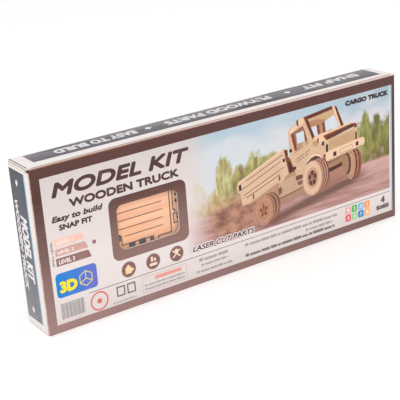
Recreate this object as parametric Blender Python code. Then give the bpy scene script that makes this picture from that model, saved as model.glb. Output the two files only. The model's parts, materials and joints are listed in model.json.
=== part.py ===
"""A boxed wooden model kit: a tuck-top display carton that holds four laser-cut plywood boards.

Metres, +Z up. The origin is on the ground under the carton's centre. The front panel faces -Y and
its long side runs along X. The boards stand on edge behind the front panel, one behind the other,
and the first one shows through the film window.
"""

import math

import bpy

MM = 0.001

# Carton
CARTON_WIDTH = 285 * MM
CARTON_HEIGHT = 107 * MM
CARTON_DEPTH = 29 * MM
CARD = 1.0 * MM
GAP = 0.3 * MM
FLAP_LENGTH = 24 * MM
FLAP_SETBACK = 2.5 * MM
FLAP_FRONT_TAPER = 0.12
FLAP_BACK_TAPER = 0.30
FLAP_CORNER = 3 * MM

# Lid: its front edge stops short of the front panel, whose raw top edge stays in view
LID_END_CUT = 0.5 * MM
TUCK_CLEARANCE = 0.6 * MM
TUCK_LENGTH = 14 * MM
TUCK_END_CUT = 3 * MM
TUCK_CORNER = 9 * MM

# Window and its film
WINDOW_CENTRE = (-66.3 * MM, 55.3 * MM)
WINDOW_SIZE = (44.2 * MM, 29.8 * MM)
WINDOW_CORNER = 4.5 * MM
FILM = 0.3 * MM
FILM_MARGIN = 6 * MM

# Glue seam inside the back right corner
SEAM_WIDTH = 12 * MM
SEAM_END_CUT = 6 * MM

# Plywood boards and the leaflet behind them
PLY = 3.0 * MM
BOARD_WIDTH = 270 * MM
BOARD_HEIGHT = 86 * MM
BOARD_CORNER = 2 * MM
KERF = 0.3 * MM
LEAFLET = 1.0 * MM
LEAFLET_SIZE = (140 * MM, 84 * MM)

# Truck wheels
TYRE_RADIUS = 11 * MM
RIM_RADIUS = 6.5 * MM
HUB_RADIUS = 2.6 * MM
AXLE_SQUARE = 2.4 * MM
SPOKES = 5

# Worked out from the above
HALF_WIDTH = CARTON_WIDTH / 2
HALF_DEPTH = CARTON_DEPTH / 2
INNER_FRONT = -HALF_DEPTH + CARD
INNER_BACK = HALF_DEPTH - CARD
LID_UNDERSIDE = CARTON_HEIGHT - CARD
FLAP_TOP = LID_UNDERSIDE - GAP
TUCK_FRONT = INNER_FRONT + TUCK_CLEARANCE
TUCK_BACK = TUCK_FRONT + CARD
FLOOR_TOP = 3 * CARD + 2 * GAP
BOARD_BOTTOM = FLOOR_TOP + GAP
FIRST_BOARD = TUCK_BACK + GAP
BOARD_PITCH = PLY + GAP

FACING_FRONT = (math.pi / 2, 0.0, 0.0)
FACING_SIDE = (math.pi / 2, 0.0, math.pi / 2)
LYING_FLAT = (0.0, 0.0, 0.0)


# ---------------------------------------------------------------- outlines


def rectangle(left, low, right, high):
    """A plain rectangle, anticlockwise."""
    return [(left, low), (right, low), (right, high), (left, high)]


def disc(centre, radius, steps=24):
    """A circle as a regular polygon, anticlockwise."""
    turns = [2 * math.pi * step / steps for step in range(steps)]
    return [(centre[0] + radius * math.cos(a), centre[1] + radius * math.sin(a)) for a in turns]


def arc(centre, radius, start, end, steps):
    """Points of an arc between two angles in degrees, both ends included."""
    angles = [math.radians(start + (end - start) * step / steps) for step in range(steps + 1)]
    return [(centre[0] + radius * math.cos(a), centre[1] + radius * math.sin(a)) for a in angles]


def rounded_rectangle(left, low, right, high, radius, steps=4):
    """A rectangle whose four corners are quarter circles, anticlockwise."""
    corners = (
        ((right - radius, low + radius), -90),
        ((right - radius, high - radius), 0),
        ((left + radius, high - radius), 90),
        ((left + radius, low + radius), 180),
    )
    points = []
    for centre, start in corners:
        points += arc(centre, radius, start, start + 90, steps)
    return points


def side_run(start, end, features):
    """One side from start up to end, with square tabs (depth over 0) or notches (under 0).

    Each feature is (distance to its middle, width, depth), in order along the side.
    """
    length = math.dist(start, end)
    along = ((end[0] - start[0]) / length, (end[1] - start[1]) / length)
    outward = (along[1], -along[0])
    points = [start]
    for middle, width, depth in features:
        for distance, reach in (
            (middle - width / 2, 0),
            (middle - width / 2, depth),
            (middle + width / 2, depth),
            (middle + width / 2, 0),
        ):
            points.append(
                (
                    start[0] + along[0] * distance + outward[0] * reach,
                    start[1] + along[1] * distance + outward[1] * reach,
                )
            )
    return points


def panel(left, low, right, high, bottom=(), rise=(), top=(), fall=()):
    """A rectangle with tabs and notches on its bottom, right, top and left sides, anticlockwise."""
    points = side_run((left, low), (right, low), bottom)
    points += side_run((right, low), (right, high), rise)
    points += side_run((right, high), (left, high), top)
    points += side_run((left, high), (left, low), fall)
    return points


def grown(points, distance):
    """The outline moved outwards by a distance, with sharp corners."""
    result = []
    count = len(points)
    for index, point in enumerate(points):
        normals = []
        for a, b in ((points[index - 1], point), (point, points[(index + 1) % count])):
            length = math.dist(a, b)
            normals.append(((b[1] - a[1]) / length, (a[0] - b[0]) / length))
        (ax, ay), (bx, by) = normals
        stretch = distance / (1 + ax * bx + ay * by)
        result.append((point[0] + (ax + bx) * stretch, point[1] + (ay + by) * stretch))
    return result


def moved(points, across, up):
    """The outline shifted."""
    return [(x + across, y + up) for x, y in points]


def mirrored(points, about):
    """The outline mirrored left to right about a line x = about, still anticlockwise."""
    return [(2 * about - x, y) for x, y in reversed(points)]


def millimetres(*points):
    """Points written in millimetres, turned into metres."""
    return [(x * MM, y * MM) for x, y in points]


# ---------------------------------------------------------------- objects


def clear_scene():
    """Take every object out of the scene."""
    for item in list(bpy.data.objects):
        bpy.data.objects.remove(item, do_unlink=True)


def finish(name, colour, roughness, alpha=1.0):
    """A Principled material of one colour."""
    material = bpy.data.materials.new(name)
    material.use_nodes = True
    shader = material.node_tree.nodes["Principled BSDF"]
    shader.inputs["Base Color"].default_value = (*colour, 1.0)
    shader.inputs["Roughness"].default_value = roughness
    shader.inputs["Metallic"].default_value = 0.0
    shader.inputs["Alpha"].default_value = alpha
    return material


def sheet(name, outlines, thickness, near, turn, material):
    """A flat sheet: the first outline, less the others, pushed out to a thickness.

    near is the lower coordinate of its two faces, on the axis that the sheet is square to.
    """
    curve = bpy.data.curves.new(name, "CURVE")
    curve.dimensions = "2D"
    curve.fill_mode = "BOTH"
    curve.extrude = thickness / 2
    for outline in outlines:
        spline = curve.splines.new("POLY")
        spline.points.add(len(outline) - 1)
        for point, (x, y) in zip(spline.points, outline):
            point.co = (x, y, 0.0, 1.0)
        spline.use_cyclic_u = True
    curve.materials.append(material)
    item = bpy.data.objects.new(name, curve)
    bpy.context.scene.collection.objects.link(item)
    item.rotation_euler = turn
    middle = near + thickness / 2
    axis = {FACING_FRONT: 1, FACING_SIDE: 0, LYING_FLAT: 2}[turn]
    item.location[axis] = middle
    return item


def hinge(name, place):
    """An empty on a joint's axis."""
    pivot = bpy.data.objects.new(name, None)
    pivot.location = place
    pivot.empty_display_size = 5 * MM
    bpy.context.scene.collection.objects.link(pivot)
    bpy.context.view_layer.update()
    return pivot


def hang(item, pivot):
    """Parent an object to its pivot and leave it where it is."""
    bpy.context.view_layer.update()
    item.parent = pivot
    item.matrix_parent_inverse = pivot.matrix_world.inverted()


# ---------------------------------------------------------------- carton


def window_outline(margin=0.0, corner=WINDOW_CORNER):
    """The window's rounded rectangle, with a margin outside it."""
    (across, up), (width, height) = WINDOW_CENTRE, WINDOW_SIZE
    return rounded_rectangle(
        across - width / 2 - margin,
        up - height / 2 - margin,
        across + width / 2 + margin,
        up + height / 2 + margin,
        corner,
    )


def build_walls(card):
    """The four walls, which fold from one strip of card and close at the glue seam."""
    whole = rectangle(-HALF_WIDTH, 0, HALF_WIDTH, CARTON_HEIGHT)
    front_outlines = [whole, window_outline()]
    sheet("front_panel", front_outlines, CARD, -HALF_DEPTH, FACING_FRONT, card)
    back = rectangle(-HALF_WIDTH, 0, HALF_WIDTH, FLAP_TOP)
    sheet("back_panel", [back], CARD, INNER_BACK, FACING_FRONT, card)
    end_top = FLAP_TOP - CARD - GAP
    end = rectangle(INNER_FRONT + GAP, CARD + GAP, INNER_BACK - GAP, end_top)
    sheet("left_end_panel", [end], CARD, -HALF_WIDTH, FACING_SIDE, card)
    sheet("right_end_panel", [end], CARD, HALF_WIDTH - CARD, FACING_SIDE, card)
    seam_right = HALF_WIDTH - CARD - GAP
    seam = rectangle(seam_right - SEAM_WIDTH, BOARD_BOTTOM, seam_right, CARTON_HEIGHT - SEAM_END_CUT)
    sheet("glue_seam", [seam], CARD, INNER_BACK - GAP - CARD, FACING_FRONT, card)


def build_bottom(card):
    """The glued bottom: the outer panel from the front wall, the inner one, and two end flaps."""
    near, far = INNER_FRONT + GAP, INNER_BACK - GAP
    outer = rectangle(-HALF_WIDTH, near, HALF_WIDTH, far)
    sheet("bottom_outer_panel", [outer], CARD, 0.0, LYING_FLAT, card)
    inner_end = HALF_WIDTH - CARD - GAP
    inner = rectangle(-inner_end, near, inner_end, far)
    sheet("bottom_inner_panel", [inner], CARD, CARD + GAP, LYING_FLAT, card)
    flap = rectangle(-inner_end, near, -inner_end + FLAP_LENGTH, far)
    flap_level = 2 * (CARD + GAP)
    sheet("bottom_left_flap", [flap], CARD, flap_level, LYING_FLAT, card)
    right_flap = mirrored(flap, 0.0)
    sheet("bottom_right_flap", [right_flap], CARD, flap_level, LYING_FLAT, card)


def build_lid(card):
    """The lid, on a fold along the back wall's top edge, and its tuck flap."""
    lid_fold = hinge("lid_fold", (0.0, HALF_DEPTH, LID_UNDERSIDE - GAP / 2))
    lid_end = HALF_WIDTH - LID_END_CUT
    outline = rectangle(-lid_end, TUCK_FRONT, lid_end, HALF_DEPTH)
    lid = sheet("top_lid", [outline], CARD, LID_UNDERSIDE, LYING_FLAT, card)
    hang(lid, lid_fold)
    tuck_fold = hinge("tuck_fold", (0.0, TUCK_BACK, LID_UNDERSIDE - GAP / 2))
    tuck_end = HALF_WIDTH - CARD - TUCK_END_CUT
    low = FLAP_TOP - TUCK_LENGTH
    tuck_outline = arc((tuck_end - TUCK_CORNER, low + TUCK_CORNER), TUCK_CORNER, -90, 0, 5)
    tuck_outline += [(tuck_end, FLAP_TOP), (-tuck_end, FLAP_TOP)]
    tuck_outline += arc((-tuck_end + TUCK_CORNER, low + TUCK_CORNER), TUCK_CORNER, 180, 270, 5)
    tuck = sheet("top_tuck_flap", [tuck_outline], CARD, TUCK_FRONT, FACING_FRONT, card)
    hang(tuck, tuck_fold)
    hang(tuck_fold, lid_fold)


def dust_flap_outline():
    """The left dust flap, tapered on both sides: it clears the tuck flap in front and the lid behind."""
    root, tip = -HALF_WIDTH, -HALF_WIDTH + FLAP_LENGTH
    root_near, root_far = TUCK_BACK + FLAP_SETBACK, INNER_BACK - GAP
    near = root_near + FLAP_LENGTH * FLAP_FRONT_TAPER
    far = root_far - FLAP_LENGTH * FLAP_BACK_TAPER
    outline = [(root, root_near)]
    outline += arc((tip - FLAP_CORNER, near + FLAP_CORNER), FLAP_CORNER, -90, 0, 4)
    outline += arc((tip - FLAP_CORNER, far - FLAP_CORNER), FLAP_CORNER, 0, 70, 4)
    outline.append((root, root_far))
    return outline


def build_dust_flaps(card):
    """The two flaps under the lid, each on a fold along its end panel's top edge."""
    level = FLAP_TOP - CARD
    left_outline = dust_flap_outline()
    for side, outline, edge in (
        ("left", left_outline, -HALF_WIDTH),
        ("right", mirrored(left_outline, 0.0), HALF_WIDTH),
    ):
        fold = hinge(f"{side}_flap_fold", (edge, 0.0, level - GAP / 2))
        flap = sheet(f"top_{side}_dust_flap", [outline], CARD, level, LYING_FLAT, card)
        hang(flap, fold)


def build_film(clear):
    """The clear film, glued behind the window."""
    film = [window_outline(FILM_MARGIN, WINDOW_CORNER)]
    sheet("window_film", film, FILM, INNER_FRONT + GAP, FACING_FRONT, clear)


# ---------------------------------------------------------------- truck parts, board by board


def slot(across, up, width, height):
    """A slot for another part's tab, from its middle and size in millimetres."""
    half_width, half_height = width * MM / 2, height * MM / 2
    x, y = across * MM, up * MM
    return rectangle(x - half_width, y - half_height, x + half_width, y + half_height)


def spaced(first, pitch, count, width, depth):
    """Equal tabs or notches along a side, from distances in millimetres."""
    steps = range(count)
    return [((first + pitch * step) * MM, width * MM, depth * MM) for step in steps]


def box_panel(left, low, width, height, **sides):
    """A tabbed panel from its corner and size in millimetres."""
    return panel(left * MM, low * MM, (left + width) * MM, (low + height) * MM, **sides)


def bed_parts():
    """The cargo bed's plates. The floor lies behind the carton's window."""
    floor = millimetres(
        (-101, 44.9), (-87.4, 44.9), (-87.4, 48.7), (-84.9, 48.7), (-84.9, 42.5),
        (-79.8, 42.5), (-79.8, 39.3), (-76.2, 39.3), (-76.2, 42.5), (-72.4, 42.5),
        (-72.4, 39.3), (-68.4, 39.3), (-68.4, 42.5), (-63.6, 42.5), (-63.6, 39.3),
        (-58.7, 39.3), (-58.7, 41.5), (-48.8, 41.5), (-48.8, 76.9), (-101, 76.9),
    )
    wall_tabs = spaced(9, 16, 3, 5, 3)
    side_low = box_panel(-32, 37, 50, 14, bottom=wall_tabs)
    side_high = box_panel(-32, 62, 50, 14, bottom=wall_tabs)
    end_tabs = spaced(7, 1, 1, 5, 3)
    tailgate = box_panel(32, 62, 34, 14, rise=end_tabs, fall=end_tabs)
    middle_tab = spaced(8.5, 1, 1, 5, 3)
    wall_sides = {"rise": middle_tab, "fall": middle_tab, "bottom": spaced(9, 16, 2, 5, 3)}
    wall = box_panel(32, 34, 34, 17, **wall_sides)
    ends = spaced(3, 1, 1, 3, 3)
    beams = [box_panel(left, 14, 34, 6, rise=ends, fall=ends) for left in (-96, -48)]
    bracket = box_panel(-46.2, 46.9, 8, 22.5, fall=spaced(15, 1, 1, 3, -1.2), top=spaced(4, 1, 1, 3, 2))
    bracket_holes = [disc((-43.6 * MM, z * MM), 1.1 * MM, 12) for z in (65.9, 61.5)]
    bracket_holes.append(slot(-42.6, 51.1, 2.6, 4.2))
    rail = box_panel(76, 18, 46, 10, top=spaced(8, 15, 3, 5, 3))
    return [
        ("bed_floor", floor, []),
        ("bed_side_left", side_low, []),
        ("bed_side_right", side_high, []),
        ("tailgate", tailgate, []),
        ("bed_front_wall", wall, [slot(49, 45, 16, 4)]),
        ("bed_beam_front", beams[0], []),
        ("bed_beam_rear", beams[1], []),
        ("spring_bracket", bracket, bracket_holes),
        ("tow_bar", rail, [slot(90, 22, 6, 3), slot(108, 22, 6, 3)]),
    ]


def cab_side_outline():
    """The left cab side in millimetres from its lower front corner: door, bonnet side, wheel arch."""
    outline = millimetres((0, 6))
    outline += arc((12 * MM, 6 * MM), 9 * MM, 180, 0, 8)
    outline += millimetres((38, 6), (38, 22), (36, 37), (31, 37), (31, 40), (26, 40), (26, 37))
    outline += millimetres((21, 37), (17, 21), (0, 19))
    return outline


def cab_parts():
    """The cab's plates."""
    side = cab_side_outline()
    side_window = millimetres((21, 22), (34, 22), (32.5, 34), (23.5, 34))
    left_at, right_at = (-124 * MM, 34 * MM), (-38 * MM, 34 * MM)
    left = moved(side, *left_at)
    left_window = moved(side_window, *left_at)
    right = moved(mirrored(side, 0.0), *right_at)
    right_window = moved(mirrored(side_window, 0.0), *right_at)
    roof = box_panel(-26, 50, 38, 26)
    roof_slots = [slot(x, z, 5, 3) for x in (-18, 4) for z in (53.5, 72.5)]
    rear = box_panel(24, 46, 32, 30, rise=spaced(8, 14, 2, 5, 3), fall=spaced(8, 14, 2, 5, 3))
    screen = box_panel(68, 56, 32, 20, bottom=spaced(8, 16, 2, 5, 3), top=spaced(8, 16, 2, 5, 3))
    opening = rounded_rectangle(72 * MM, 60 * MM, 96 * MM, 72 * MM, 2 * MM)
    bonnet = box_panel(68, 24, 32, 22, rise=spaced(11, 1, 1, 5, 3), fall=spaced(11, 1, 1, 5, 3))
    grille = box_panel(20, 16, 32, 18, top=spaced(8, 16, 2, 5, 3))
    grille_slots = [slot(x, 25, 2, 9) for x in (29, 33, 37, 41)]
    grille_slots += [disc((x * MM, 24 * MM), 1.8 * MM, 12) for x in (24, 48)]
    bumper = rounded_rectangle(-34 * MM, 14 * MM, 10 * MM, 22 * MM, 3.5 * MM)
    fender = arc((0, 0), 13 * MM, 20, 160, 8) + arc((0, 0), 9.5 * MM, 160, 20, 8)
    fenders = [moved(fender, x * MM, 14 * MM) for x in (-108, -64)]
    return [
        ("cab_side_left", left, [left_window]),
        ("cab_side_right", right, [right_window]),
        ("cab_roof", roof, roof_slots),
        ("cab_rear_wall", rear, [slot(40, 64, 20, 10)]),
        ("windscreen_frame", screen, [opening]),
        ("bonnet_top", bonnet, [slot(84, 31, 14, 2), slot(84, 36, 14, 2)]),
        ("grille_plate", grille, grille_slots),
        ("front_bumper", bumper, [slot(-26, 18, 4, 3), slot(2, 18, 4, 3)]),
        ("fender_left", fenders[0], []),
        ("fender_right", fenders[1], []),
    ]


def chassis_parts():
    """The frame rails, cross members and axles."""
    tabs = spaced(12, 19, 4, 5, 3)
    rails = [box_panel(-122, low, 82, 11, top=tabs) for low in (60, 38)]
    rail_holes = [
        [slot(x, low + 5.5, 3, 5) for x in (-108, -54)] + [slot(-81, low + 5.5, 10, 3)]
        for low in (60, 38)
    ]
    ends = spaced(5, 1, 1, 4, 3)
    members = [box_panel(left, 62, 24, 10, rise=ends, fall=ends) for left in (-26, 10, 46)]
    axle_ends = spaced(2.75, 1, 1, 2.4, 5)
    axles = [box_panel(-20, low, 40, 5.5, rise=axle_ends, fall=axle_ends) for low in (44, 28)]
    plate = box_panel(36, 24, 54, 26, top=spaced(10, 17, 3, 5, -3), bottom=spaced(10, 17, 3, 5, -3))
    plate_slots = [slot(x, 37, 8, 3) for x in (46, 63, 80)]
    seat = box_panel(-118, 14, 30, 14, rise=spaced(7, 1, 1, 5, 3), fall=spaced(7, 1, 1, 5, 3))
    wheel_at = (-66 * MM, 21 * MM)
    return [
        ("chassis_rail_left", rails[0], rail_holes[0]),
        ("chassis_rail_right", rails[1], rail_holes[1]),
        ("cross_member_front", members[0], []),
        ("cross_member_middle", members[1], []),
        ("cross_member_rear", members[2], []),
        ("front_axle", axles[0], []),
        ("rear_axle", axles[1], []),
        ("chassis_plate", plate, plate_slots),
        ("seat_plate", seat, []),
        ("steering_wheel", disc(wheel_at, 5 * MM, 20), [disc(wheel_at, 1.2 * MM, 8)]),
    ]


def spoke_gap(centre, index):
    """One of the openings between a rim's spokes: a ring sector."""
    start = 360 * index / SPOKES + 14
    end = 360 * (index + 1) / SPOKES - 14
    outer = arc(centre, RIM_RADIUS - 1.3 * MM, start, end, 3)
    return outer + arc(centre, HUB_RADIUS, end, start, 2)


def wheel_parts():
    """Four tyres with their spoked rims nested inside, and four hub washers beside them."""
    parts = []
    places = (("front_left", -100), ("front_right", -40), ("rear_left", 20), ("rear_right", 80))
    for corner, across in places:
        centre = (across * MM, 62 * MM)
        tyre = disc(centre, TYRE_RADIUS, 32)
        bore = disc(centre, RIM_RADIUS + KERF, 24)
        parts.append((f"tyre_{corner}", tyre, [bore]))
        rim = disc(centre, RIM_RADIUS, 24)
        half = AXLE_SQUARE / 2
        axle_hole = rectangle(centre[0] - half, centre[1] - half, centre[0] + half, centre[1] + half)
        gaps = [spoke_gap(centre, index) for index in range(SPOKES)]
        parts.append((f"rim_{corner}", rim, [axle_hole] + gaps))
        washer_at = (centre[0], 28 * MM)
        washer = disc(washer_at, HUB_RADIUS + 2 * MM, 16)
        parts.append((f"washer_{corner}", washer, [disc(washer_at, AXLE_SQUARE * 0.75, 8)]))
    return parts


# ---------------------------------------------------------------- boards


def build_board(name, index, parts, wood):
    """One plywood board: its frame with a kerf round each part, and the parts in their places."""
    near = FIRST_BOARD + BOARD_PITCH * index
    half = BOARD_WIDTH / 2
    top = BOARD_BOTTOM + BOARD_HEIGHT
    outlines = [rounded_rectangle(-half, BOARD_BOTTOM, half, top, BOARD_CORNER)]
    outlines += [grown(outline, KERF) for part, outline, _ in parts if not part.startswith("rim_")]
    sheet(name, outlines, PLY, near, FACING_FRONT, wood)
    for part, outline, holes in parts:
        sheet(part, [outline] + holes, PLY, near, FACING_FRONT, wood)


def build_leaflet(index, paper):
    """The folded assembly leaflet behind the last board."""
    near = FIRST_BOARD + BOARD_PITCH * index
    width, height = LEAFLET_SIZE
    outline = rectangle(-width / 2, BOARD_BOTTOM, width / 2, BOARD_BOTTOM + height)
    sheet("assembly_leaflet", [outline], LEAFLET, near, FACING_FRONT, paper)


def main():
    """Build the whole kit."""
    clear_scene()
    card = finish("printed_card", (0.62, 0.55, 0.53), 0.45)
    clear = finish("clear_film", (0.9, 0.92, 0.94), 0.08, 0.3)
    wood = finish("plywood", (0.80, 0.55, 0.33), 0.7)
    paper = finish("leaflet_paper", (0.85, 0.85, 0.83), 0.8)
    build_walls(card)
    build_bottom(card)
    build_lid(card)
    build_dust_flaps(card)
    build_film(clear)
    boards = (
        ("bed_board", bed_parts()),
        ("cab_board", cab_parts()),
        ("chassis_board", chassis_parts()),
        ("wheel_board", wheel_parts()),
    )
    for index, (name, parts) in enumerate(boards):
        build_board(name, index, parts, wood)
    build_leaflet(len(boards), paper)


main()
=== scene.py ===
"""Looks for the boxed wooden truck kit: printed carton, clear window, laser-cut plywood boards.

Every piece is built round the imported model, in metres, +Z up, with the carton's front towards -Y.
"""

import json
import logging
import math
from dataclasses import dataclass, field
from enum import Enum
from typing import Sequence

import bmesh
import bpy
import numpy as np
from mathutils import Matrix, Vector

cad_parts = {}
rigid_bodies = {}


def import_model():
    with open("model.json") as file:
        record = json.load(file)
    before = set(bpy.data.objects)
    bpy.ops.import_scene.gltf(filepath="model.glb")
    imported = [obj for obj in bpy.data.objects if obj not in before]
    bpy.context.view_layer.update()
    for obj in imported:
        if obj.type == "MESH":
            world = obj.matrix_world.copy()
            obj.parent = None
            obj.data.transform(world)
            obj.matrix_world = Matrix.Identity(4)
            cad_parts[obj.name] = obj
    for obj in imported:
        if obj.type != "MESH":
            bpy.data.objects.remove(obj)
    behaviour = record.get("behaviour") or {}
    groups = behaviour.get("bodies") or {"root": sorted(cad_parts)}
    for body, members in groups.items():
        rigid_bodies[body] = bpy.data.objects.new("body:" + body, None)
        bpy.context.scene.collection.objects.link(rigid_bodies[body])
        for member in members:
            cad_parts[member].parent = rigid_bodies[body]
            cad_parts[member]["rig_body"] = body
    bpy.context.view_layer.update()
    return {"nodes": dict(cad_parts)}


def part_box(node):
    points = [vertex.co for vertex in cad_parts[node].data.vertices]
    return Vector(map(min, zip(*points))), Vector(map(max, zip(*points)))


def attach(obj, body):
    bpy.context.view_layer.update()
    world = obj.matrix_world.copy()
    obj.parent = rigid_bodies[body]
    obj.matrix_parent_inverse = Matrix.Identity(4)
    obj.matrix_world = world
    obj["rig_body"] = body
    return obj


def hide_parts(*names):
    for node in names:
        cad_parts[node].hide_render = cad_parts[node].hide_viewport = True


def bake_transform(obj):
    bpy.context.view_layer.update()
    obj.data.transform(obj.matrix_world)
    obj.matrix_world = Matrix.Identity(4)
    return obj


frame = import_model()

MM = 0.001
LOG = logging.getLogger("truck_kit")

Colour = tuple[float, float, float, float]
Points = np.ndarray


def ink(red: float, green: float, blue: float) -> Colour:
    """A print colour from three display values of 0 to 255.

    Each display value v, as a share of 255, becomes linear light: ((v + 0.055) / 1.055) ** 2.4.

    Args:
        red: display red.
        green: display green.
        blue: display blue.

    Returns:
        The linear colour with alpha 1.
    """
    shares = (np.array([red, green, blue]) / 255.0 + 0.055) / 1.055
    return (*(float(v) for v in shares**2.4), 1.0)


WHITE = ink(238, 232, 232)
FIELD = ink(230, 219, 216)
DARK_BROWN = ink(74, 44, 42)
GREY = ink(120, 112, 112)

TINT = "tint"
WINDOW_MARGIN = 6.0
WINDOW_CORNER = 4.5
DRAWN_HEIGHT = 105.0


# ---------------------------------------------------------------- shader arithmetic


class Signal:
    """A shader socket that ordinary arithmetic works on; each operation adds one Math node."""

    def __init__(self, paint: "Paint", socket: bpy.types.NodeSocket) -> None:
        """Keep the socket and the material that it belongs to."""
        self.paint = paint
        self.socket = socket

    def math(self, operation: str, *others: "Signal | float") -> "Signal":
        """This signal, then the others, through one Math node.

        Args:
            operation: the Math node's operation.
            others: its second and third inputs.

        Returns:
            The node's value.
        """
        inputs = dict(enumerate((self, *others)))
        return self.paint.node("ShaderNodeMath", {"operation": operation}, inputs)

    def _from(self, operation: str, first: float) -> "Signal":
        """A number, then this signal, through one Math node."""
        return self.paint.node("ShaderNodeMath", {"operation": operation}, {0: first, 1: self})

    def __add__(self, other: "Signal | float") -> "Signal":
        """Sum."""
        return self.math("ADD", other)

    def __radd__(self, other: float) -> "Signal":
        """Sum, from a number."""
        return self._from("ADD", other)

    def __sub__(self, other: "Signal | float") -> "Signal":
        """Difference."""
        return self.math("SUBTRACT", other)

    def __rsub__(self, other: float) -> "Signal":
        """Difference, from a number."""
        return self._from("SUBTRACT", other)

    def __mul__(self, other: "Signal | float") -> "Signal":
        """Product."""
        return self.math("MULTIPLY", other)

    def __truediv__(self, other: "Signal | float") -> "Signal":
        """Quotient."""
        return self.math("DIVIDE", other)

    def __abs__(self) -> "Signal":
        """Size without its sign."""
        return self.math("ABSOLUTE")

    def over(self, other: "Signal | float") -> "Signal":
        """The larger of the two."""
        return self.math("MAXIMUM", other)

    def rise(self, low: float, high: float) -> "Signal":
        """0 below low, 1 above high, and a smooth step between them; falls if low is the higher.

        Args:
            low: where the step starts.
            high: where it ends.

        Returns:
            The step's value.
        """
        settings = {"interpolation_type": "SMOOTHSTEP"}
        inputs = {"From Min": low, "From Max": high, "Value": self}
        if low > high:
            inputs = {"From Min": high, "From Max": low, "To Min": 1.0, "To Max": 0.0, "Value": self}
        return self.paint.node("ShaderNodeMapRange", settings, inputs)


class Paint:
    """One node material with a Principled shader, put together in Python."""

    def __init__(self, name: str) -> None:
        """Start a material of that name."""
        self.material = bpy.data.materials.new(name)
        self.material.use_nodes = True
        self.tree = self.material.node_tree
        self.shader = self.tree.nodes["Principled BSDF"]
        self._place: Signal | None = None

    def node(
        self, kind: str, settings: dict | None = None, inputs: dict | None = None, output: int = 0
    ) -> Signal:
        """Add one node.

        Args:
            kind: the node's type.
            settings: its own settings; "stops" is a ramp's list of (position, colour).
            inputs: numbers, colours or signals for its sockets, by name or index.
            output: the index of the socket to hand back.

        Returns:
            That output.
        """
        made = self.tree.nodes.new(kind)
        for name, value in (settings or {}).items():
            if name == "stops":
                self._set_stops(made.color_ramp, value)
            else:
                setattr(made, name, value)
        for key, value in (inputs or {}).items():
            if isinstance(value, Signal):
                self.tree.links.new(value.socket, made.inputs[key])
            else:
                made.inputs[key].default_value = value
        return Signal(self, made.outputs[output])

    @staticmethod
    def _set_stops(ramp: bpy.types.ColorRamp, stops: Sequence[tuple[float, Colour]]) -> None:
        """Give a ramp its stops."""
        while len(ramp.elements) < len(stops):
            ramp.elements.new(1.0)
        for element, (position, colour) in zip(ramp.elements, stops):
            element.position = position
            element.color = colour

    def place(self) -> Signal:
        """The point on the piece, in metres in the row frame."""
        if self._place is None:
            self._place = self.node("ShaderNodeTexCoord", output=3)
        return self._place

    def axes(self) -> tuple[Signal, Signal, Signal]:
        """The point's x, y and z, each as a signal."""
        split = self.node("ShaderNodeSeparateXYZ", None, {0: self.place()})
        outputs = split.socket.node.outputs
        return tuple(Signal(self, outputs[index]) for index in range(3))

    def mix(self, share: "Signal | float", first: "Signal | Colour", second: "Signal | Colour") -> Signal:
        """A colour between two others.

        Args:
            share: 0 for the first, 1 for the second.
            first: one colour.
            second: the other colour.

        Returns:
            The mixed colour.
        """
        return self.node("ShaderNodeMix", {"data_type": "RGBA"}, {0: share, 6: first, 7: second}, output=2)

    def ramp(self, share: Signal, *stops: tuple[float, Colour]) -> Signal:
        """A colour from a ramp of stops."""
        return self.node("ShaderNodeValToRGB", {"stops": stops}, {0: share})

    def noise(self, pitch: Sequence[float], detail: float = 3.0, seed: float = 0.0) -> Signal:
        """Smooth noise with its own pitch along each axis.

        Args:
            pitch: the size of one blotch along x, y and z, in metres.
            detail: how many finer layers it has.
            seed: a shift that gives another pattern.

        Returns:
            A value round 0.5.
        """
        settings = {"vector_type": "POINT"}
        inputs = {0: self.place(), 1: (seed, seed, seed), 3: tuple(1.0 / p for p in pitch)}
        scaled = self.node("ShaderNodeMapping", settings, inputs)
        return self.node("ShaderNodeTexNoise", None, {"Vector": scaled, "Scale": 1.0, "Detail": detail})

    def bump(self, height: Signal, strength: float, distance: float) -> Signal:
        """A normal bent by a height."""
        inputs = {"Height": height, "Strength": strength, "Distance": distance}
        return self.node("ShaderNodeBump", None, inputs)

    def facing(self, direction: Sequence[float]) -> Signal:
        """How squarely a face looks in a direction: 1 straight on, -1 straight away."""
        inputs = {0: self.node("ShaderNodeNewGeometry", output=3), 1: direction}
        return self.node("ShaderNodeVectorMath", {"operation": "DOT_PRODUCT"}, inputs, 1)

    def dress(self, **channels: "Signal | float | Colour") -> bpy.types.Material:
        """Feed the Principled shader's sockets and hand back the material.

        Args:
            channels: socket names, with underscores for spaces.

        Returns:
            The finished material.
        """
        for name, value in channels.items():
            socket = self.shader.inputs[name.replace("_", " ")]
            if isinstance(value, Signal):
                self.tree.links.new(value.socket, socket)
            else:
                socket.default_value = value
        return self.material

    def dress_print(self, colour: Signal, strength: float) -> bpy.types.Material:
        """Dress the material as glossy print, with the small bumps of pressed card."""
        fibre = self.noise((0.0012, 0.0012, 0.0012), 3.0)
        return self.dress(
            Base_Color=colour,
            Roughness=0.30 + fibre * 0.14,
            Specular_IOR_Level=0.3,
            Normal=self.bump(fibre, strength, 0.0001),
        )


# ---------------------------------------------------------------- finishes


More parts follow.
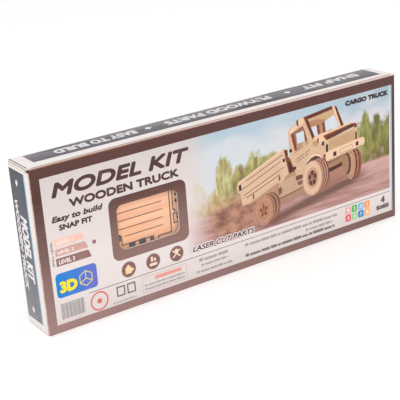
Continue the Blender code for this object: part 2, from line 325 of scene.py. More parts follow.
@dataclass(frozen=True)
class BrownPrintWithSheen:
    """The glossy brown print, with a painted sheen of the gloss that makes it paler towards the ground and
    the carton's left.
    """

    name: str
    top: float
    # Stops from the foot up: dark brown print, made paler low down by painted sheen.
    stops: tuple[tuple[float, Colour], ...] = (
        (0.00, ink(154, 122, 119)),
        (0.25, ink(136, 104, 99)),
        (0.50, ink(110, 81, 76)),
        (0.80, ink(80, 46, 41)),
        (1.00, ink(86, 51, 47)),
    )
    # lean makes the painted sheen paler towards the carton's left; lift moves the whole ramp darker.
    lean: float = 1.6
    lift: float = 0.2
    worn: Colour = ink(206, 180, 170)
    raw: Colour = ink(142, 88, 66)
    fold_at: float = 1.0

    def material(self) -> bpy.types.Material:
        """Ramp on height and across, the brown print with its painted sheen, with faint streaks, worn pale
        folds and a raw upper edge.
        """
        paint = Paint(self.name)
        x, _, z = paint.axes()
        streaks = paint.noise((0.020, 0.004, 0.0012), 4.0)
        # The ramp's level carries the painted sheen: paler low down and towards the left.
        level = z / self.top + (streaks - 0.5) * 0.14 + x * self.lean + self.lift
        rub = paint.noise((0.004, 0.004, 0.004), 4.0, seed=6.0)
        worn = (abs(x) - self.fold_at + (rub - 0.5) * 0.0006).rise(-0.0005, -0.0002)
        raw = (z - self.top + (rub - 0.5) * 0.0005).rise(-0.0008, -0.0004)
        brown = paint.mix(worn, paint.ramp(level, *self.stops), self.worn)
        edge = paint.mix(x.rise(-0.10, 0.08), self.raw, self.worn)
        return paint.dress_print(paint.mix(raw, brown, edge), 0.12)


@dataclass(frozen=True)
class BareCard:
    """The unprinted side of the card: pale, slightly flecked and matt."""

    name: str = "bare_card"
    pale: Colour = ink(232, 224, 214)
    fleck: Colour = ink(196, 184, 170)

    def material(self) -> bpy.types.Material:
        """Pale card with soft clouds, fine flecks and a fibre bump."""
        paint = Paint(self.name)
        clouds = paint.noise((0.012, 0.012, 0.012), 2.0)
        flecks = paint.noise((0.0005, 0.0008, 0.0005), 4.0, seed=3.0).rise(0.56, 0.70)
        fibre = paint.noise((0.0009, 0.0009, 0.0004), 4.0, seed=7.0)
        return paint.dress(
            Base_Color=paint.mix(flecks * 0.55 + (clouds - 0.5) * 0.5 + 0.1, self.pale, self.fleck),
            Roughness=0.72 + fibre * 0.2,
            Normal=paint.bump(fibre, 0.25, 0.0001),
        )


@dataclass(frozen=True)
class CardBlank:
    """Card that is printed on one side only, which side is told by the way a face looks."""

    name: str
    printed: Colour
    outward: tuple[float, float, float]
    pale: Colour = ink(228, 219, 209)

    def material(self) -> bpy.types.Material:
        """Print where the face looks outward, bare card on the rest."""
        paint = Paint(self.name)
        fibre = paint.noise((0.0009, 0.0009, 0.0005), 4.0)
        clouds = paint.noise((0.015, 0.01, 0.01), 2.0)
        side = paint.facing(self.outward).rise(0.4, 0.6)
        card = paint.mix(clouds.rise(0.3, 0.8) * 0.5, self.pale, ink(205, 194, 181))
        print_tone = paint.mix(clouds.rise(0.35, 0.75) * 0.25, self.printed, ink(150, 130, 126))
        return paint.dress(
            Base_Color=paint.mix(side, card, print_tone),
            Roughness=0.75 - side * 0.4 + (fibre - 0.5) * 0.15,
            Normal=paint.bump(fibre, 0.2, 0.0001),
        )


@dataclass(frozen=True)
class TuckEdge:
    """The lid's front fold, where the dark print of the tuck flap is rubbed pale all along."""

    top: float
    dark: Colour = ink(40, 18, 12)
    rubbed: Colour = ink(196, 168, 158)

    def material(self) -> bpy.types.Material:
        """Print rubbed at least nine tenths pale, and fully pale in patches and near the top."""
        paint = Paint("tuck_edge")
        x, _, z = paint.axes()
        rub = paint.noise((0.020, 0.004, 0.004), 4.0, seed=12.0)
        patches = (rub + x.rise(0.0, 0.12) * 0.12).rise(0.60, 0.74)
        above = (z - self.top).rise(-0.0014, -0.0002) * x.rise(-0.01, 0.03)
        fibre = paint.noise((0.0009, 0.0009, 0.0005), 4.0)
        return paint.dress(
            Base_Color=paint.mix(patches.over(0.9) + above, self.dark, self.rubbed),
            Specular_IOR_Level=0.1,
            Roughness=0.55 + fibre * 0.2,
            Normal=paint.bump(fibre, 0.2, 0.0001),
        )


# Painted shade on the pale paper: at each height share, how much dark ink is mixed in, most near the top and
# the foot. The dark ink is used both for this painted shade and for random mottle.
PAPER_PAINTED_SHADE = ((0.06, 0.16), (0.22, 0.07), (0.42, 0.06), (0.6, 0.13), (0.95, 0.26))
MOTTLE_AND_SHADE_INK = ink(60, 35, 25)


def painted_shade_by_height(paint: Paint, stops: tuple[tuple[float, float], ...]) -> Signal:
    """How much painted shade the print gets at each height, as a share of the carton's own height."""
    height = paint.axes()[2] / frame["nodes"]["front_panel"].dimensions.z
    return paint.ramp(height, *[(at, (amount, amount, amount, 1.0)) for at, amount in stops])


@dataclass(frozen=True)
class InkCoat:
    """Printing ink under the same gloss as the border; its colour is in each vertex, with painted shade by
    height where the shade stops are over 0.
    """

    name: str
    mottle: float = 0.10
    grain: float = 0.0
    # Stops of (height share, amount) of painted shade; none by default.
    dim: tuple[tuple[float, float], ...] = ((0.0, 0.0), (1.0, 0.0))

    def material(self) -> bpy.types.Material:
        """The vertex colour, mottled, streaked where grain is over 0, and darkened by painted shade that
        varies with height.
        """
        paint = Paint(self.name)
        dimmed = painted_shade_by_height(paint, self.dim)
        tint = paint.node("ShaderNodeAttribute", {"attribute_name": TINT}, output=0)
        spots = paint.noise((0.006, 0.006, 0.006), 3.0)
        amount = (spots - 0.5) * self.mottle
        if self.grain:
            streaks = paint.noise((0.009, 0.001, 0.0011), 4.0, seed=2.0)
            amount = amount + (streaks - 0.5) * self.grain
        # Painted shade by height, added to the random mottle.
        amount = amount + dimmed
        lit = paint.mix(amount * -1.0, tint, ink(255, 240, 225))
        return paint.dress_print(paint.mix(amount.over(0.0), lit, MOTTLE_AND_SHADE_INK), 0.1)


@dataclass(frozen=True)
class PlywoodFinish:
    """Pale birch plywood with a laser-scorched cut edge."""

    name: str = "plywood"
    pale: Colour = ink(248, 192, 148)
    warm: Colour = ink(232, 160, 112)
    scorched: Colour = ink(74, 40, 22)

    def material(self) -> bpy.types.Material:
        """Long grain along x on the two faces; brown and uneven on the edges between them."""
        paint = Paint(self.name)
        broad = paint.noise((0.060, 0.010, 0.0045), 3.0)
        fine = paint.noise((0.012, 0.004, 0.00035), 5.0, seed=5.0)
        pores = paint.noise((0.004, 0.002, 0.00018), 2.0, seed=9.0).rise(0.60, 0.72)
        wood = paint.mix(broad.rise(0.3, 0.7) * 0.55 + fine.rise(0.3, 0.75) * 0.45, self.pale, self.warm)
        wood = paint.mix(pores * 0.35, wood, ink(190, 130, 88))
        edge = abs(paint.facing((0, 1, 0))).rise(0.7, 0.4)
        soot = paint.noise((0.003, 0.0006, 0.003), 3.0, seed=1.0)
        burnt = paint.mix(soot.rise(0.3, 0.8), self.scorched, ink(120, 72, 40))
        return paint.dress(
            Base_Color=paint.mix(edge, wood, burnt),
            Roughness=0.62 + fine * 0.15 + edge * 0.12,
            Normal=paint.bump(fine - pores * 0.5, 0.3, 0.0001),
        )


@dataclass(frozen=True)
class FilmFinish:
    """Thin clear film, glossy, with barely any tint."""

    def material(self) -> bpy.types.Material:
        """Nearly see-through, with slow ripples in its gloss."""
        paint = Paint("clear_film")
        ripple = paint.noise((0.030, 0.030, 0.012), 2.0)
        return paint.dress(
            Base_Color=ink(250, 250, 252),
            Alpha=0.03 + ripple * 0.04,
            Roughness=0.06,
            Normal=paint.bump(ripple, 0.2, 0.0005),
        )


@dataclass(frozen=True)
class LeafletFinish:
    """Thin folded paper with grey diagrams showing as soft bands."""

    def material(self) -> bpy.types.Material:
        """White paper, faint fold and print shadows."""
        paint = Paint("leaflet_paper")
        bands = paint.noise((0.018, 0.05, 0.010), 1.0)
        fibre = paint.noise((0.0007, 0.0007, 0.0007), 4.0)
        tone = paint.mix(bands.rise(0.55, 0.62) * 0.35, ink(236, 235, 230), ink(168, 168, 170))
        return paint.dress(
            Base_Color=tone,
            Roughness=0.8 + fibre * 0.1,
            Normal=paint.bump(fibre, 0.15, 0.0001),
        )


@dataclass(frozen=True)
class Tree:
    """One blurred tree crown of the scenery, in millimetres on the panel."""

    across: float
    up: float
    half_width: float
    half_height: float
    light: Colour
    dark: Colour


@dataclass(frozen=True)
class SceneryFinish:
    """The printed scenery: hazy sky, soft trees, dusty road, fading into the pale field at its left."""

    stretch: float
    trees: tuple[Tree, ...] = (
        Tree(-29, 56, 6, 15, ink(208, 196, 176), ink(190, 176, 146)),
        Tree(-15, 48, 9, 12, ink(200, 184, 140), ink(180, 156, 112)),
        Tree(-8, 62, 7, 19, ink(204, 197, 146), ink(150, 138, 88)),
        Tree(5, 60, 8, 11, ink(170, 160, 98), ink(128, 112, 66)),
        Tree(18, 66, 8, 12, ink(188, 182, 120), ink(132, 122, 70)),
        Tree(32, 67, 9, 7.5, ink(178, 170, 112), ink(134, 124, 76)),
        Tree(107, 64, 5, 13, ink(178, 172, 120), ink(128, 120, 68)),
        Tree(114, 64, 6, 18, ink(150, 150, 84), ink(104, 102, 44)),
        Tree(124.5, 63, 6.5, 17, ink(146, 142, 78), ink(102, 98, 42)),
        Tree(135.5, 63, 7, 17, ink(142, 138, 74), ink(104, 98, 42)),
    )

    def material(self) -> bpy.types.Material:
        """Sky, then trees, road, shadow and dust painted over it, and the fade last."""
        paint = Paint("scenery_print_and_shade")
        x, _, z = paint.axes()
        across = x / MM
        up = z / (MM * self.stretch)
        picture = self._sky(paint, across, up)
        for number, tree in enumerate(self.trees):
            picture = self._crown(paint, picture, across, up, tree, number)
        picture = self._undergrowth(paint, picture, across, up)
        picture = self._road(paint, picture, across, up)
        wisps = paint.noise((0.014, 0.01, 0.020), 3.0, seed=21.0)
        fade = (across + (wisps - 0.5) * 14.0 + up.rise(64.0, 34.0) * 6.0).rise(-40.0, -12.0)
        # The pale paper the scenery fades into carries the same painted shade by height as the field.
        paper = paint.mix(painted_shade_by_height(paint, PAPER_PAINTED_SHADE), FIELD, MOTTLE_AND_SHADE_INK)
        return paint.dress_print(paint.mix(fade, paper, picture), 0.1)

    def _sky(self, paint: Paint, across: Signal, up: Signal) -> Signal:
        """Pale blue above, pinkish grey near the trees, with broad clouds.

        Args:
            paint: the material being put together.
            across: how far right a point is, in millimetres.
            up: how high it is, in the drawing's millimetres.

        Returns:
            The sky's colour.
        """
        clouds = paint.noise((0.045, 0.02, 0.014), 3.0, seed=4.0)
        blue = paint.mix(across.rise(60.0, 136.0), ink(170, 189, 200), ink(154, 176, 190))
        haze = paint.mix(across.rise(-10.0, 90.0), ink(202, 207, 212), ink(208, 204, 206))
        puffs = paint.noise((0.016, 0.02, 0.009), 4.0, seed=14.0)
        level = up.rise(76.0, 99.0) + across.rise(118.0, 134.0) * 0.3
        level = level + (clouds - 0.5) * 1.5 + (puffs - 0.5) * 0.9
        return paint.mix(level.rise(0.1, 1.1), haze, blue)

    def _crown(
        self, paint: Paint, under: Signal, across: Signal, up: Signal, tree: Tree, number: int
    ) -> Signal:
        """One tree over the picture: an ellipse whose rim is broken by noise.

        The mask is 1 where ((x - cx) / rx) ** 2 + ((z - cz) / rz) ** 2 plus the noise is under 1.

        Args:
            paint: the material being put together.
            under: the picture so far.
            across: how far right a point is, in millimetres.
            up: how high it is, in the drawing's millimetres.
            tree: the crown's place, size and colours.
            number: its number, which seeds its noise.

        Returns:
            The picture with it painted on.
        """
        side = (across - tree.across) / tree.half_width
        height = (up - tree.up) / tree.half_height
        rough = paint.noise((0.0036, 0.01, 0.0060), 2.5, seed=30.0 + number)
        spread = side * side + height * height + (rough - 0.5) * 2.2
        leaves = paint.noise((0.0030, 0.01, 0.0095), 2.5, seed=50.0 + number)
        lit = leaves.rise(0.32, 0.70)
        return paint.mix(spread.rise(1.35, 0.65), under, paint.mix(lit, tree.dark, tree.light))

    def _undergrowth(self, paint: Paint, under: Signal, across: Signal, up: Signal) -> Signal:
        """The brownish band of ground cover between the trees and the road.

        Args:
            paint: the material being put together.
            under: the picture so far.
            across: how far right a point is, in millimetres.
            up: how high it is, in the drawing's millimetres.

        Returns:
            The picture with it painted on.
        """
        rough = paint.noise((0.006, 0.01, 0.004), 4.0, seed=70.0)
        low = (up + (rough - 0.5) * 9.0).rise(59.0, 49.0)
        patch = paint.noise((0.004, 0.01, 0.004), 2.5, seed=71.0).rise(0.4, 0.66)
        right = paint.mix(patch, ink(104, 84, 36), ink(146, 122, 70))
        left = paint.mix(patch, ink(170, 138, 96), ink(196, 168, 126))
        cover = paint.mix(across.rise(0.0, 60.0), left, right)
        return paint.mix(low * 0.9, under, cover)

    def _road(self, paint: Paint, under: Signal, across: Signal, up: Signal) -> Signal:
        """Pinkish road rising to the right, the shadow under the truck, and dust behind its wheels.

        Args:
            paint: the material being put together.
            under: the picture so far.
            across: how far right a point is, in millimetres.
            up: how high it is, in the drawing's millimetres.

        Returns:
            The picture with it painted on.
        """
        ripples = paint.noise((0.022, 0.01, 0.0024), 4.0, seed=80.0)
        crest = 44.0 + (across - 60.0).over(0.0) * 0.055
        road_mask = (up - crest + (ripples - 0.5) * 3.0).rise(1.2, -1.2)
        near = paint.mix(ripples.rise(0.35, 0.65), ink(192, 150, 144), ink(166, 122, 114))
        near = paint.mix(up.rise(36.0, 46.0), near, ink(200, 157, 149))
        picture = paint.mix(road_mask, under, near)
        dust = paint.noise((0.010, 0.01, 0.006), 4.0, seed=90.0)
        cloud_x = (across - 1.0) / 25.0
        cloud_z = (up - 38.0) / 14.0
        cloud = cloud_x * cloud_x + cloud_z * cloud_z + (dust - 0.5) * 1.4
        billow = paint.mix(dust.rise(0.32, 0.70), ink(122, 80, 68), ink(188, 138, 112))
        picture = paint.mix(cloud.rise(1.2, 0.4) * 0.95, picture, billow)
        slope = up - 33.4 - (across - 70.0) * 0.165
        shadow = abs(slope + (ripples - 0.5) * 3.0).rise(6.4, 0.8)
        reach = across.rise(2.0, 34.0) * across.rise(120.0, 100.0)
        return paint.mix(shadow * reach * 0.92, picture, ink(106, 70, 61))


# ---------------------------------------------------------------- flat printing


@dataclass(frozen=True)
class Panel:
    """A flat face to print on: the drawing's origin and the way its two axes and its outside run."""

    origin: tuple[float, float, float]
    across: tuple[float, float, float]
    up: tuple[float, float, float]
    outward: tuple[float, float, float]
    body: str

    def place(self, flat: Points, proud: Points) -> Points:
        """Drawing points, in millimetres, as points in the row frame.

        The point is origin + x * across + z * up + height * outward.

        Args:
            flat: an (n, 2) array of x and z on the drawing.
            proud: n heights over the face.

        Returns:
            An (n, 3) array in metres.
        """
        axes = np.array([self.across, self.up, self.outward]) * MM
        return np.array(self.origin) + np.column_stack([flat, proud]) @ axes


class Slant(Enum):
    """How far letters lean."""

    UPRIGHT = 0.0
    LEANING = 0.22


class Reading(Enum):
    """Which way a line of letters runs, in quarter turns anticlockwise."""

    LEVEL = 0
    UPWARD = 1
    UPSIDE_DOWN = 2
    DOWNWARD = 3


def oblong(left: float, low: float, right: float, high: float, corner: float = 0.0, steps: int = 5) -> Points:
    """A rectangle with quarter-round corners, anticlockwise.

    Each corner is a centre plus corner * (cos a, sin a), with a running over a quarter turn.

    Args:
        left: its left side.
        low: its foot.
        right: its right side.
        high: its head.
        corner: the radius of its corners.
        steps: how many parts each corner's arc has.

    Returns:
        Its outline.
    """
    if corner <= 0.0:
        return np.array([(left, low), (right, low), (right, high), (left, high)], float)
    starts = np.radians([180.0, 270.0, 0.0, 90.0])
    angles = starts[:, None] + np.linspace(0.0, math.pi / 2, steps + 1)[None, :]
    centres = oblong(left + corner, low + corner, right - corner, high - corner)
    rounds = np.stack([np.cos(angles), np.sin(angles)], axis=2) * corner
    return (centres[:, None, :] + rounds).reshape(-1, 2)


def spot(across: float, up: float, radius: float, tall: float | None = None, steps: int = 40) -> Points:
    """An ellipse: centre + (radius * cos a, tall * sin a) over a full turn."""
    angles = np.linspace(0.0, 2 * math.pi, steps, endpoint=False)
    return np.column_stack([across + radius * np.cos(angles), up + (tall or radius) * np.sin(angles)])


def diamond(across: float, up: float, half_width: float, half_height: float) -> Points:
    """A diamond round a centre."""
    return spot(across, up, half_width, half_height, 4)


def scattered(count: int) -> list[tuple[float, float]]:
    """Pairs of shares of 0 to 1, well spread: multiples of 0.618 and of 0.377, less their whole parts."""
    return [((number * 0.618) % 1.0, (number * 0.377) % 1.0) for number in range(count)]


def sweep(
    across: float, up: float, inner: float, outer: float, start: float, end: float, squash: float = 1.0
) -> Points:
    """A curved band between two radii and two angles in degrees; squash scales its width."""
    angles = np.radians(np.linspace(start, end, 21))
    rim = np.column_stack([np.cos(angles) * squash, np.sin(angles)])
    return np.array([across, up]) + np.vstack([rim * outer, rim[::-1] * inner])


def stroke(start: Sequence[float], end: Sequence[float], width: float) -> Points:
    """A straight bar of a width between two points.

    Args:
        start: the middle of one end.
        end: the middle of the other.
        width: its width.

    Returns:
        Its four corners.
    """
    a, b = np.array(start, float), np.array(end, float)
    along = (b - a) / np.linalg.norm(b - a)
    side = np.array([-along[1], along[0]]) * width / 2
    return np.array([a - side, b - side, b + side, a + side])


@dataclass
class InkSheet:
    """Flat shapes printed on one panel, each a thin closed slab, later ones a hair further out."""

    name: str
    panel: Panel
    slot: str = "printed_card"
    base: float = 0.012
    step: float = 0.0018
    sunk: float = 0.010
    vertices: list = field(default_factory=list)
    faces: list = field(default_factory=list)
    tints: list = field(default_factory=list)
    count: int = 0
    layer: int = 0

    def add(self, points: Points, faces: list, tint: Colour) -> None:
        """Keep one closed slab's vertices, faces and colour.

        Args:
            points: its vertices, in metres.
            faces: its faces, counted from its own first vertex.
            tint: its colour.
        """
        self.faces += [[index + self.count for index in face] for face in faces]
        self.vertices.append(points)
        self.tints.append(np.tile(tint, (len(points), 1)))
        self.count += len(points)

    def height(self) -> float:
        """The height of the next layer over the panel, in millimetres."""
        self.layer += 1
        return self.base + self.layer * self.step

    def area(self, outline: Points | Sequence, tint: Colour) -> None:
        """Print one filled outline.

        Args:
            outline: its corners in millimetres on the panel.
            tint: its colour.
        """
        flat = np.array(outline, float)
        turned = np.roll(flat, -1, axis=0)
        if np.sum(flat[:, 0] * turned[:, 1] - turned[:, 0] * flat[:, 1]) < 0:
            flat = flat[::-1]
        size = len(flat)
        front = self.panel.place(flat, np.full(size, self.height()))
        back = self.panel.place(flat, np.full(size, -self.sunk))
        self.add(np.vstack([front, back]), capped_faces(2, size), tint)

    def areas(self, outlines: Sequence, tint: Colour) -> None:
        """Print several outlines in one colour."""
        for outline in outlines:
            self.area(outline, tint)

    def ring(
        self, across: float, up: float, inner: float, outer: float, tint: Colour, squash: float = 1.0
    ) -> None:
        """Print a ring as two half bands."""
        for start in (0.0, 180.0):
            self.area(sweep(across, up, inner, outer, start, start + 180.0, squash), tint)

    def words(
        self,
        text: str,
        box: Sequence[float],
        tint: Colour,
        bold: float = 0.0,
        slant: Slant = Slant.UPRIGHT,
        reading: Reading = Reading.LEVEL,
    ) -> None:
        """Print a line of plain letters, stretched to fill a box.

        Args:
            text: the letters.
            box: left, low, right, high in millimetres.
            tint: their colour.
            bold: how far each stroke is thickened to each side, in millimetres, by shifted copies.
            slant: how far they lean.
            reading: which way the line runs.
        """
        flat, outer, faces = letter_shapes(text, slant)
        for _ in range(reading.value):
            flat = np.column_stack([-flat[:, 1], flat[:, 0]])
        low, high = flat.min(axis=0), flat.max(axis=0)
        corner, far = np.array(box[:2]) + bold, np.array(box[2:]) - bold
        flat = corner + (flat - low) / (high - low) * (far - corner)
        angles = np.radians(np.arange(8) * 45.0 if bold else [0.0])
        for shift in np.column_stack([np.cos(angles), np.sin(angles)]) * bold:
            proud = np.where(outer, self.height(), -self.sunk)
            self.add(self.panel.place(flat + shift, proud), faces, tint)

    def fine_line(
        self, left: float, right: float, low: float, height: float, tint: Colour = ink(168, 156, 156)
    ) -> None:
        """Print a line of words too small to read, as a row of short rounded bars.

        Args:
            left: where the line starts, in millimetres.
            right: where it ends.
            low: its foot.
            height: the height of its bars.
            tint: their colour.
        """
        at, number = left, 0
        while at < right - 0.5:
            width = min(height * (1.5 + 1.1 * ((number * 3) % 4)), right - at)
            drop = 0.12 * height * ((number * 2) % 3)
            self.area(oblong(at, low, at + width, low + height - drop, 0.25 * height, 2), tint)
            at += width + 0.45 * height
            number += 1

    def box_outline(self, box: Sequence[float], line: float, tint: Colour) -> None:
        """Print the outline of a box given as left, low, right and high, in bars of the line's width.

        Args:
            box: its sides, in millimetres.
            line: the width of a bar.
            tint: their colour.
        """
        left, low, right, high = box
        half = line / 2
        for level in (low, high):
            self.area(oblong(left - half, level - half, right + half, level + half), tint)
        for side in (left, right):
            self.area(oblong(side - half, low + half, side + half, high - half), tint)

    def build(self, finish: bpy.types.Material) -> bpy.types.Object:
        """Make the piece, with its finish, riding on the panel's body."""
        points = np.vstack(self.vertices)
        item = new_piece(self.name, points, self.faces, [finish])
        attribute = item.data.attributes.new(TINT, "FLOAT_COLOR", "POINT")
        attribute.data.foreach_set("color", np.vstack(self.tints).astype(np.float32).ravel())
        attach(item, self.panel.body)
        return item


def letter_shapes(text: str, slant: Slant) -> tuple[Points, Points, list]:
    """Solid letters of the built-in font, as arrays.

    Args:
        text: the letters.
        slant: how far they lean.

    Returns:
        Flat points, whether each is on the outer face, and the faces.
    """
    curve = bpy.data.curves.new("letters", "FONT")
    curve.body = text
    curve.shear = slant.value
    curve.extrude = 0.05
    curve.resolution_u = 4
    holder = bpy.data.objects.new("letters", curve)
    bpy.context.scene.collection.objects.link(holder)
    bpy.context.view_layer.update()
    evaluated = holder.evaluated_get(bpy.context.evaluated_depsgraph_get())
    mesh = bpy.data.meshes.new_from_object(evaluated)
    face_outward(mesh, weld=1e-5)
    points = read_vectors(mesh.vertices, "co")
    faces = [list(polygon.vertices) for polygon in mesh.polygons]
    bpy.data.objects.remove(holder)
    bpy.data.curves.remove(curve)
    bpy.data.meshes.remove(mesh)
    return points[:, :2], points[:, 2] > 0.0, faces


def face_outward(mesh: bpy.types.Mesh, weld: float = 0.0) -> None:
    """Turn every face of a closed mesh outwards, after joining points closer than a weld over 0.

    Args:
        mesh: the mesh to mend.
        weld: the distance, or 0 to join nothing.
    """
    work = bmesh.new()
    work.from_mesh(mesh)
    if weld > 0.0:
        bmesh.ops.remove_doubles(work, verts=work.verts, dist=weld)
    bmesh.ops.recalc_face_normals(work, faces=work.faces)
    work.to_mesh(mesh)
    work.free()


def read_vectors(items: bpy.types.bpy_prop_collection, name: str) -> Points:
    """One vector of every vertex or face, as an (n, 3) array."""
    values = np.empty(len(items) * 3, np.float32)
    items.foreach_get(name, values)
    return values.reshape(-1, 3).astype(float)


def new_piece(name: str, points: Points, faces: Sequence, finishes: Sequence) -> bpy.types.Object:
    """A mesh object at the origin, from its points and faces.

    Args:
        name: the piece's name.
        points: an (n, 3) array in metres.
        faces: the indices of each face's points.
        finishes: its materials.

    Returns:
        The piece.
    """
    mesh = bpy.data.meshes.new(name)
    mesh.from_pydata(points.tolist(), [], [list(face) for face in faces])
    mesh.update()
    for finish in finishes:
        mesh.materials.append(finish)
    item = bpy.data.objects.new(name, mesh)
    bpy.context.scene.collection.objects.link(item)
    return item


def grid_faces(rows: int, columns: int, close_rows: bool, close_columns: bool) -> Points:
    """Quads of a rows by columns grid of points, wrapped round where a direction closes.

    Args:
        rows: how many rows of points there are.
        columns: how many points a row has.
        close_rows: whether the last row joins the first.
        close_columns: whether a row's last point joins its first.

    Returns:
        An (n, 4) array of indices.
    """
    row = np.arange(rows if close_rows else rows - 1)
    column = np.arange(columns if close_columns else columns - 1)
    r, c = (a.ravel() for a in np.meshgrid(row, column, indexing="ij"))
    below, beside = (r + 1) % rows, (c + 1) % columns
    quads = [r * columns + c, below * columns + c, below * columns + beside, r * columns + beside]
    return np.column_stack(quads)


def capped_faces(rows: int, size: int) -> list[list[int]]:
    """Quads between rows of points, each row a closed loop of that size, and a cap at either end.

    Args:
        rows: how many rows of points there are.
        size: how many points a row has.

    Returns:
        The indices of each face's points.
    """
    faces = grid_faces(rows, size, False, True).tolist()
    faces.append(list(range(size)))
    faces.append(list(range(rows * size - 1, (rows - 1) * size - 1, -1)))
    return faces


# ---------------------------------------------------------------- carton


@dataclass
class Carton:
    """The folded card carton round the boards: sleeve of four walls, lid, flaps and their folds."""

    fold: float = 1.3 * MM
    card: float = 1.0 * MM
    rim: float = 0.15 * MM
    print_and_sheen_finish: bpy.types.Material | None = None
    bare_finish: bpy.types.Material | None = None

    def __post_init__(self) -> None:
        """Read the carton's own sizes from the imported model."""
        self.low, self.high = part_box("front_panel")
        self.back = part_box("back_panel")[1].y
        self.end_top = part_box("left_end_panel")[1].z
        self.back_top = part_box("back_panel")[1].z
        self.top = self.high.z
        self.half = self.high.x
        self.lid_low, self.lid_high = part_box("top_lid")
        self.tuck_low, self.tuck_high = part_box("top_tuck_flap")
        # The walls' outer finish: brown print with a painted sheen, paler towards the ground and the left.
        self.print_and_sheen_finish = BrownPrintWithSheen("border_print_and_sheen", self.top, fold_at=self.half).material()
        self.bare_finish = BareCard().material()

    def wall_path(self, inset: float) -> tuple[Points, Points]:
        """Stations round the walls and the height of the wall's top at each.

        The path is a rectangle whose corners are quarter circles of the fold's radius less the inset;
        a step in height uses two stations close together.

        Args:
            inset: how far inside the outer face it runs.

        Returns:
            An (n, 2) array of x and y, and n heights.
        """
        radius = self.fold - inset
        left, right = -self.half + self.fold, self.half - self.fold
        front, back = self.low.y + self.fold, self.back - self.fold
        centres = [(left, front), (right, front), (right, back), (left, back)]
        turns = np.linspace(0.0, math.pi / 2, 7)
        stations, heights = [], []
        tops = [self.end_top, self.top, self.end_top, self.back_top, self.end_top]
        for number, centre in enumerate(centres):
            angles = math.pi + number * math.pi / 2 + turns
            stations.append(np.array(centre) + radius * np.column_stack([np.cos(angles), np.sin(angles)]))
            share = np.where(np.arange(7) < (5 if number in (1, 2) else 3), 0.0, 1.0)
            heights.append(tops[number] * (1 - share) + tops[number + 1] * share)
        return np.vstack(stations), np.concatenate(heights)

    def build_sleeve(self) -> bpy.types.Object:
        """The four walls as one closed ring of card with rounded folds, and the window cut in it.

        A profile of eight points, the card's section with small chamfers, is carried round the path.
        """
        profile = [
            (0.0, self.rim, 0), (0.0, -self.rim, 1), (self.rim, 0.0, 1), (self.card - self.rim, 0.0, 1),
            (self.card, -self.rim, 1), (self.card, self.rim, 0), (self.card - self.rim, 0.0, 0),
            (self.rim, 0.0, 0),
        ]
        columns = []
        for inset, rise, at_top in profile:
            stations, heights = self.wall_path(inset)
            columns.append(np.column_stack([stations, heights * at_top + rise]))
        points = np.stack(columns, axis=1)
        faces = grid_faces(*points.shape[:2], True, True)
        finishes = [self.print_and_sheen_finish, self.bare_finish]
        sleeve = new_piece("carton_sleeve", points.reshape(-1, 3), faces, finishes)
        face_outward(sleeve.data)
        self._cut_window(sleeve)
        self._mark_printed_side(sleeve)
        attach(sleeve, "carton")
        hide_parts("front_panel", "back_panel", "left_end_panel", "right_end_panel")
        return sleeve

    def window(self) -> tuple[float, float, float, float]:
        """Left, low, right and high of the window, in millimetres, from the film less its glued margin."""
        low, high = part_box("window_film")
        near, far = np.array(low) / MM + WINDOW_MARGIN, np.array(high) / MM - WINDOW_MARGIN
        return near[0], near[2], far[0], far[2]

    def _cut_window(self, sleeve: bpy.types.Object) -> None:
        """Take a rounded opening out of the front wall."""
        outline = oblong(*self.window(), WINDOW_CORNER, 8) * MM
        size = len(outline)
        near = np.column_stack([outline[:, 0], np.full(size, self.low.y - MM), outline[:, 1]])
        far = near + np.array([0.0, self.card + 2 * MM, 0.0])
        cutter = new_piece(
            "window_cutter", np.vstack([near, far]), capped_faces(2, size), [self.bare_finish]
        )
        face_outward(cutter.data)
        cut = sleeve.modifiers.new("window", "BOOLEAN")
        cut.operation = "DIFFERENCE"
        cut.solver = "EXACT"
        cut.object = cutter
        bpy.context.view_layer.update()
        evaluated = sleeve.evaluated_get(bpy.context.evaluated_depsgraph_get())
        done = bpy.data.meshes.new_from_object(evaluated)
        sleeve.modifiers.clear()
        sleeve.data = done
        bpy.data.objects.remove(cutter)

    def _mark_printed_side(self, sleeve: bpy.types.Object) -> None:
        """Give the outer faces the brown print with its painted sheen, and the rest bare card.

        A face is outer if its normal points away from the nearest point of the fold centres' rectangle
        and its middle lies within a tenth of a millimetre of the outer path.
        """
        mesh = sleeve.data
        mesh.materials.clear()
        mesh.materials.append(self.print_and_sheen_finish)
        mesh.materials.append(self.bare_finish)
        centre = read_vectors(mesh.polygons, "center")[:, :2]
        normal = read_vectors(mesh.polygons, "normal")[:, :2]
        reach = np.array([self.half - self.fold, self.back - self.fold])
        beyond = centre - np.clip(centre, -reach, reach)
        distance = np.linalg.norm(beyond, axis=1)
        away = np.einsum("ij,ij->i", beyond, normal) / np.maximum(distance, 1e-9)
        outer = (distance > self.fold - 0.1 * MM) & (away > 0.5)
        mesh.polygons.foreach_set("material_index", np.where(outer, 0, 1).astype(np.int32))
        mesh.update()

    def fold_strip(
        self,
        name: str,
        ends: tuple[Points, Points],
        centre: Points,
        start: Points,
        finish: bpy.types.Material,
    ) -> bpy.types.Object:
        """A quarter-round strip of card that bends across one fold.

        Each point is centre + radius * (cos a * first + sin a * up), swept along the strip's length,
        with the radius from the card's inner face to its outer one.

        Args:
            name: the piece's name.
            ends: the two ends of the strip, added to the centre.
            centre: the centre of the quarter round.
            start: the unit vector from the centre to the standing side.
            finish: the strip's finish.

        Returns:
            The strip.
        """
        inner = self.fold - self.card
        angles = np.linspace(0.0, math.pi / 2, 9)
        rise = np.array([0.0, 0.0, 1.0])
        rays = np.cos(angles)[:, None] * start + np.sin(angles)[:, None] * rise
        loop = np.vstack([rays * self.fold, rays[::-1] * inner])
        rows = np.stack([centre + end + loop for end in np.linspace(*ends, 13)])
        strip = new_piece(name, rows.reshape(-1, 3), capped_faces(13, len(loop)), [finish])
        face_outward(strip.data)
        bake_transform(strip)
        return strip

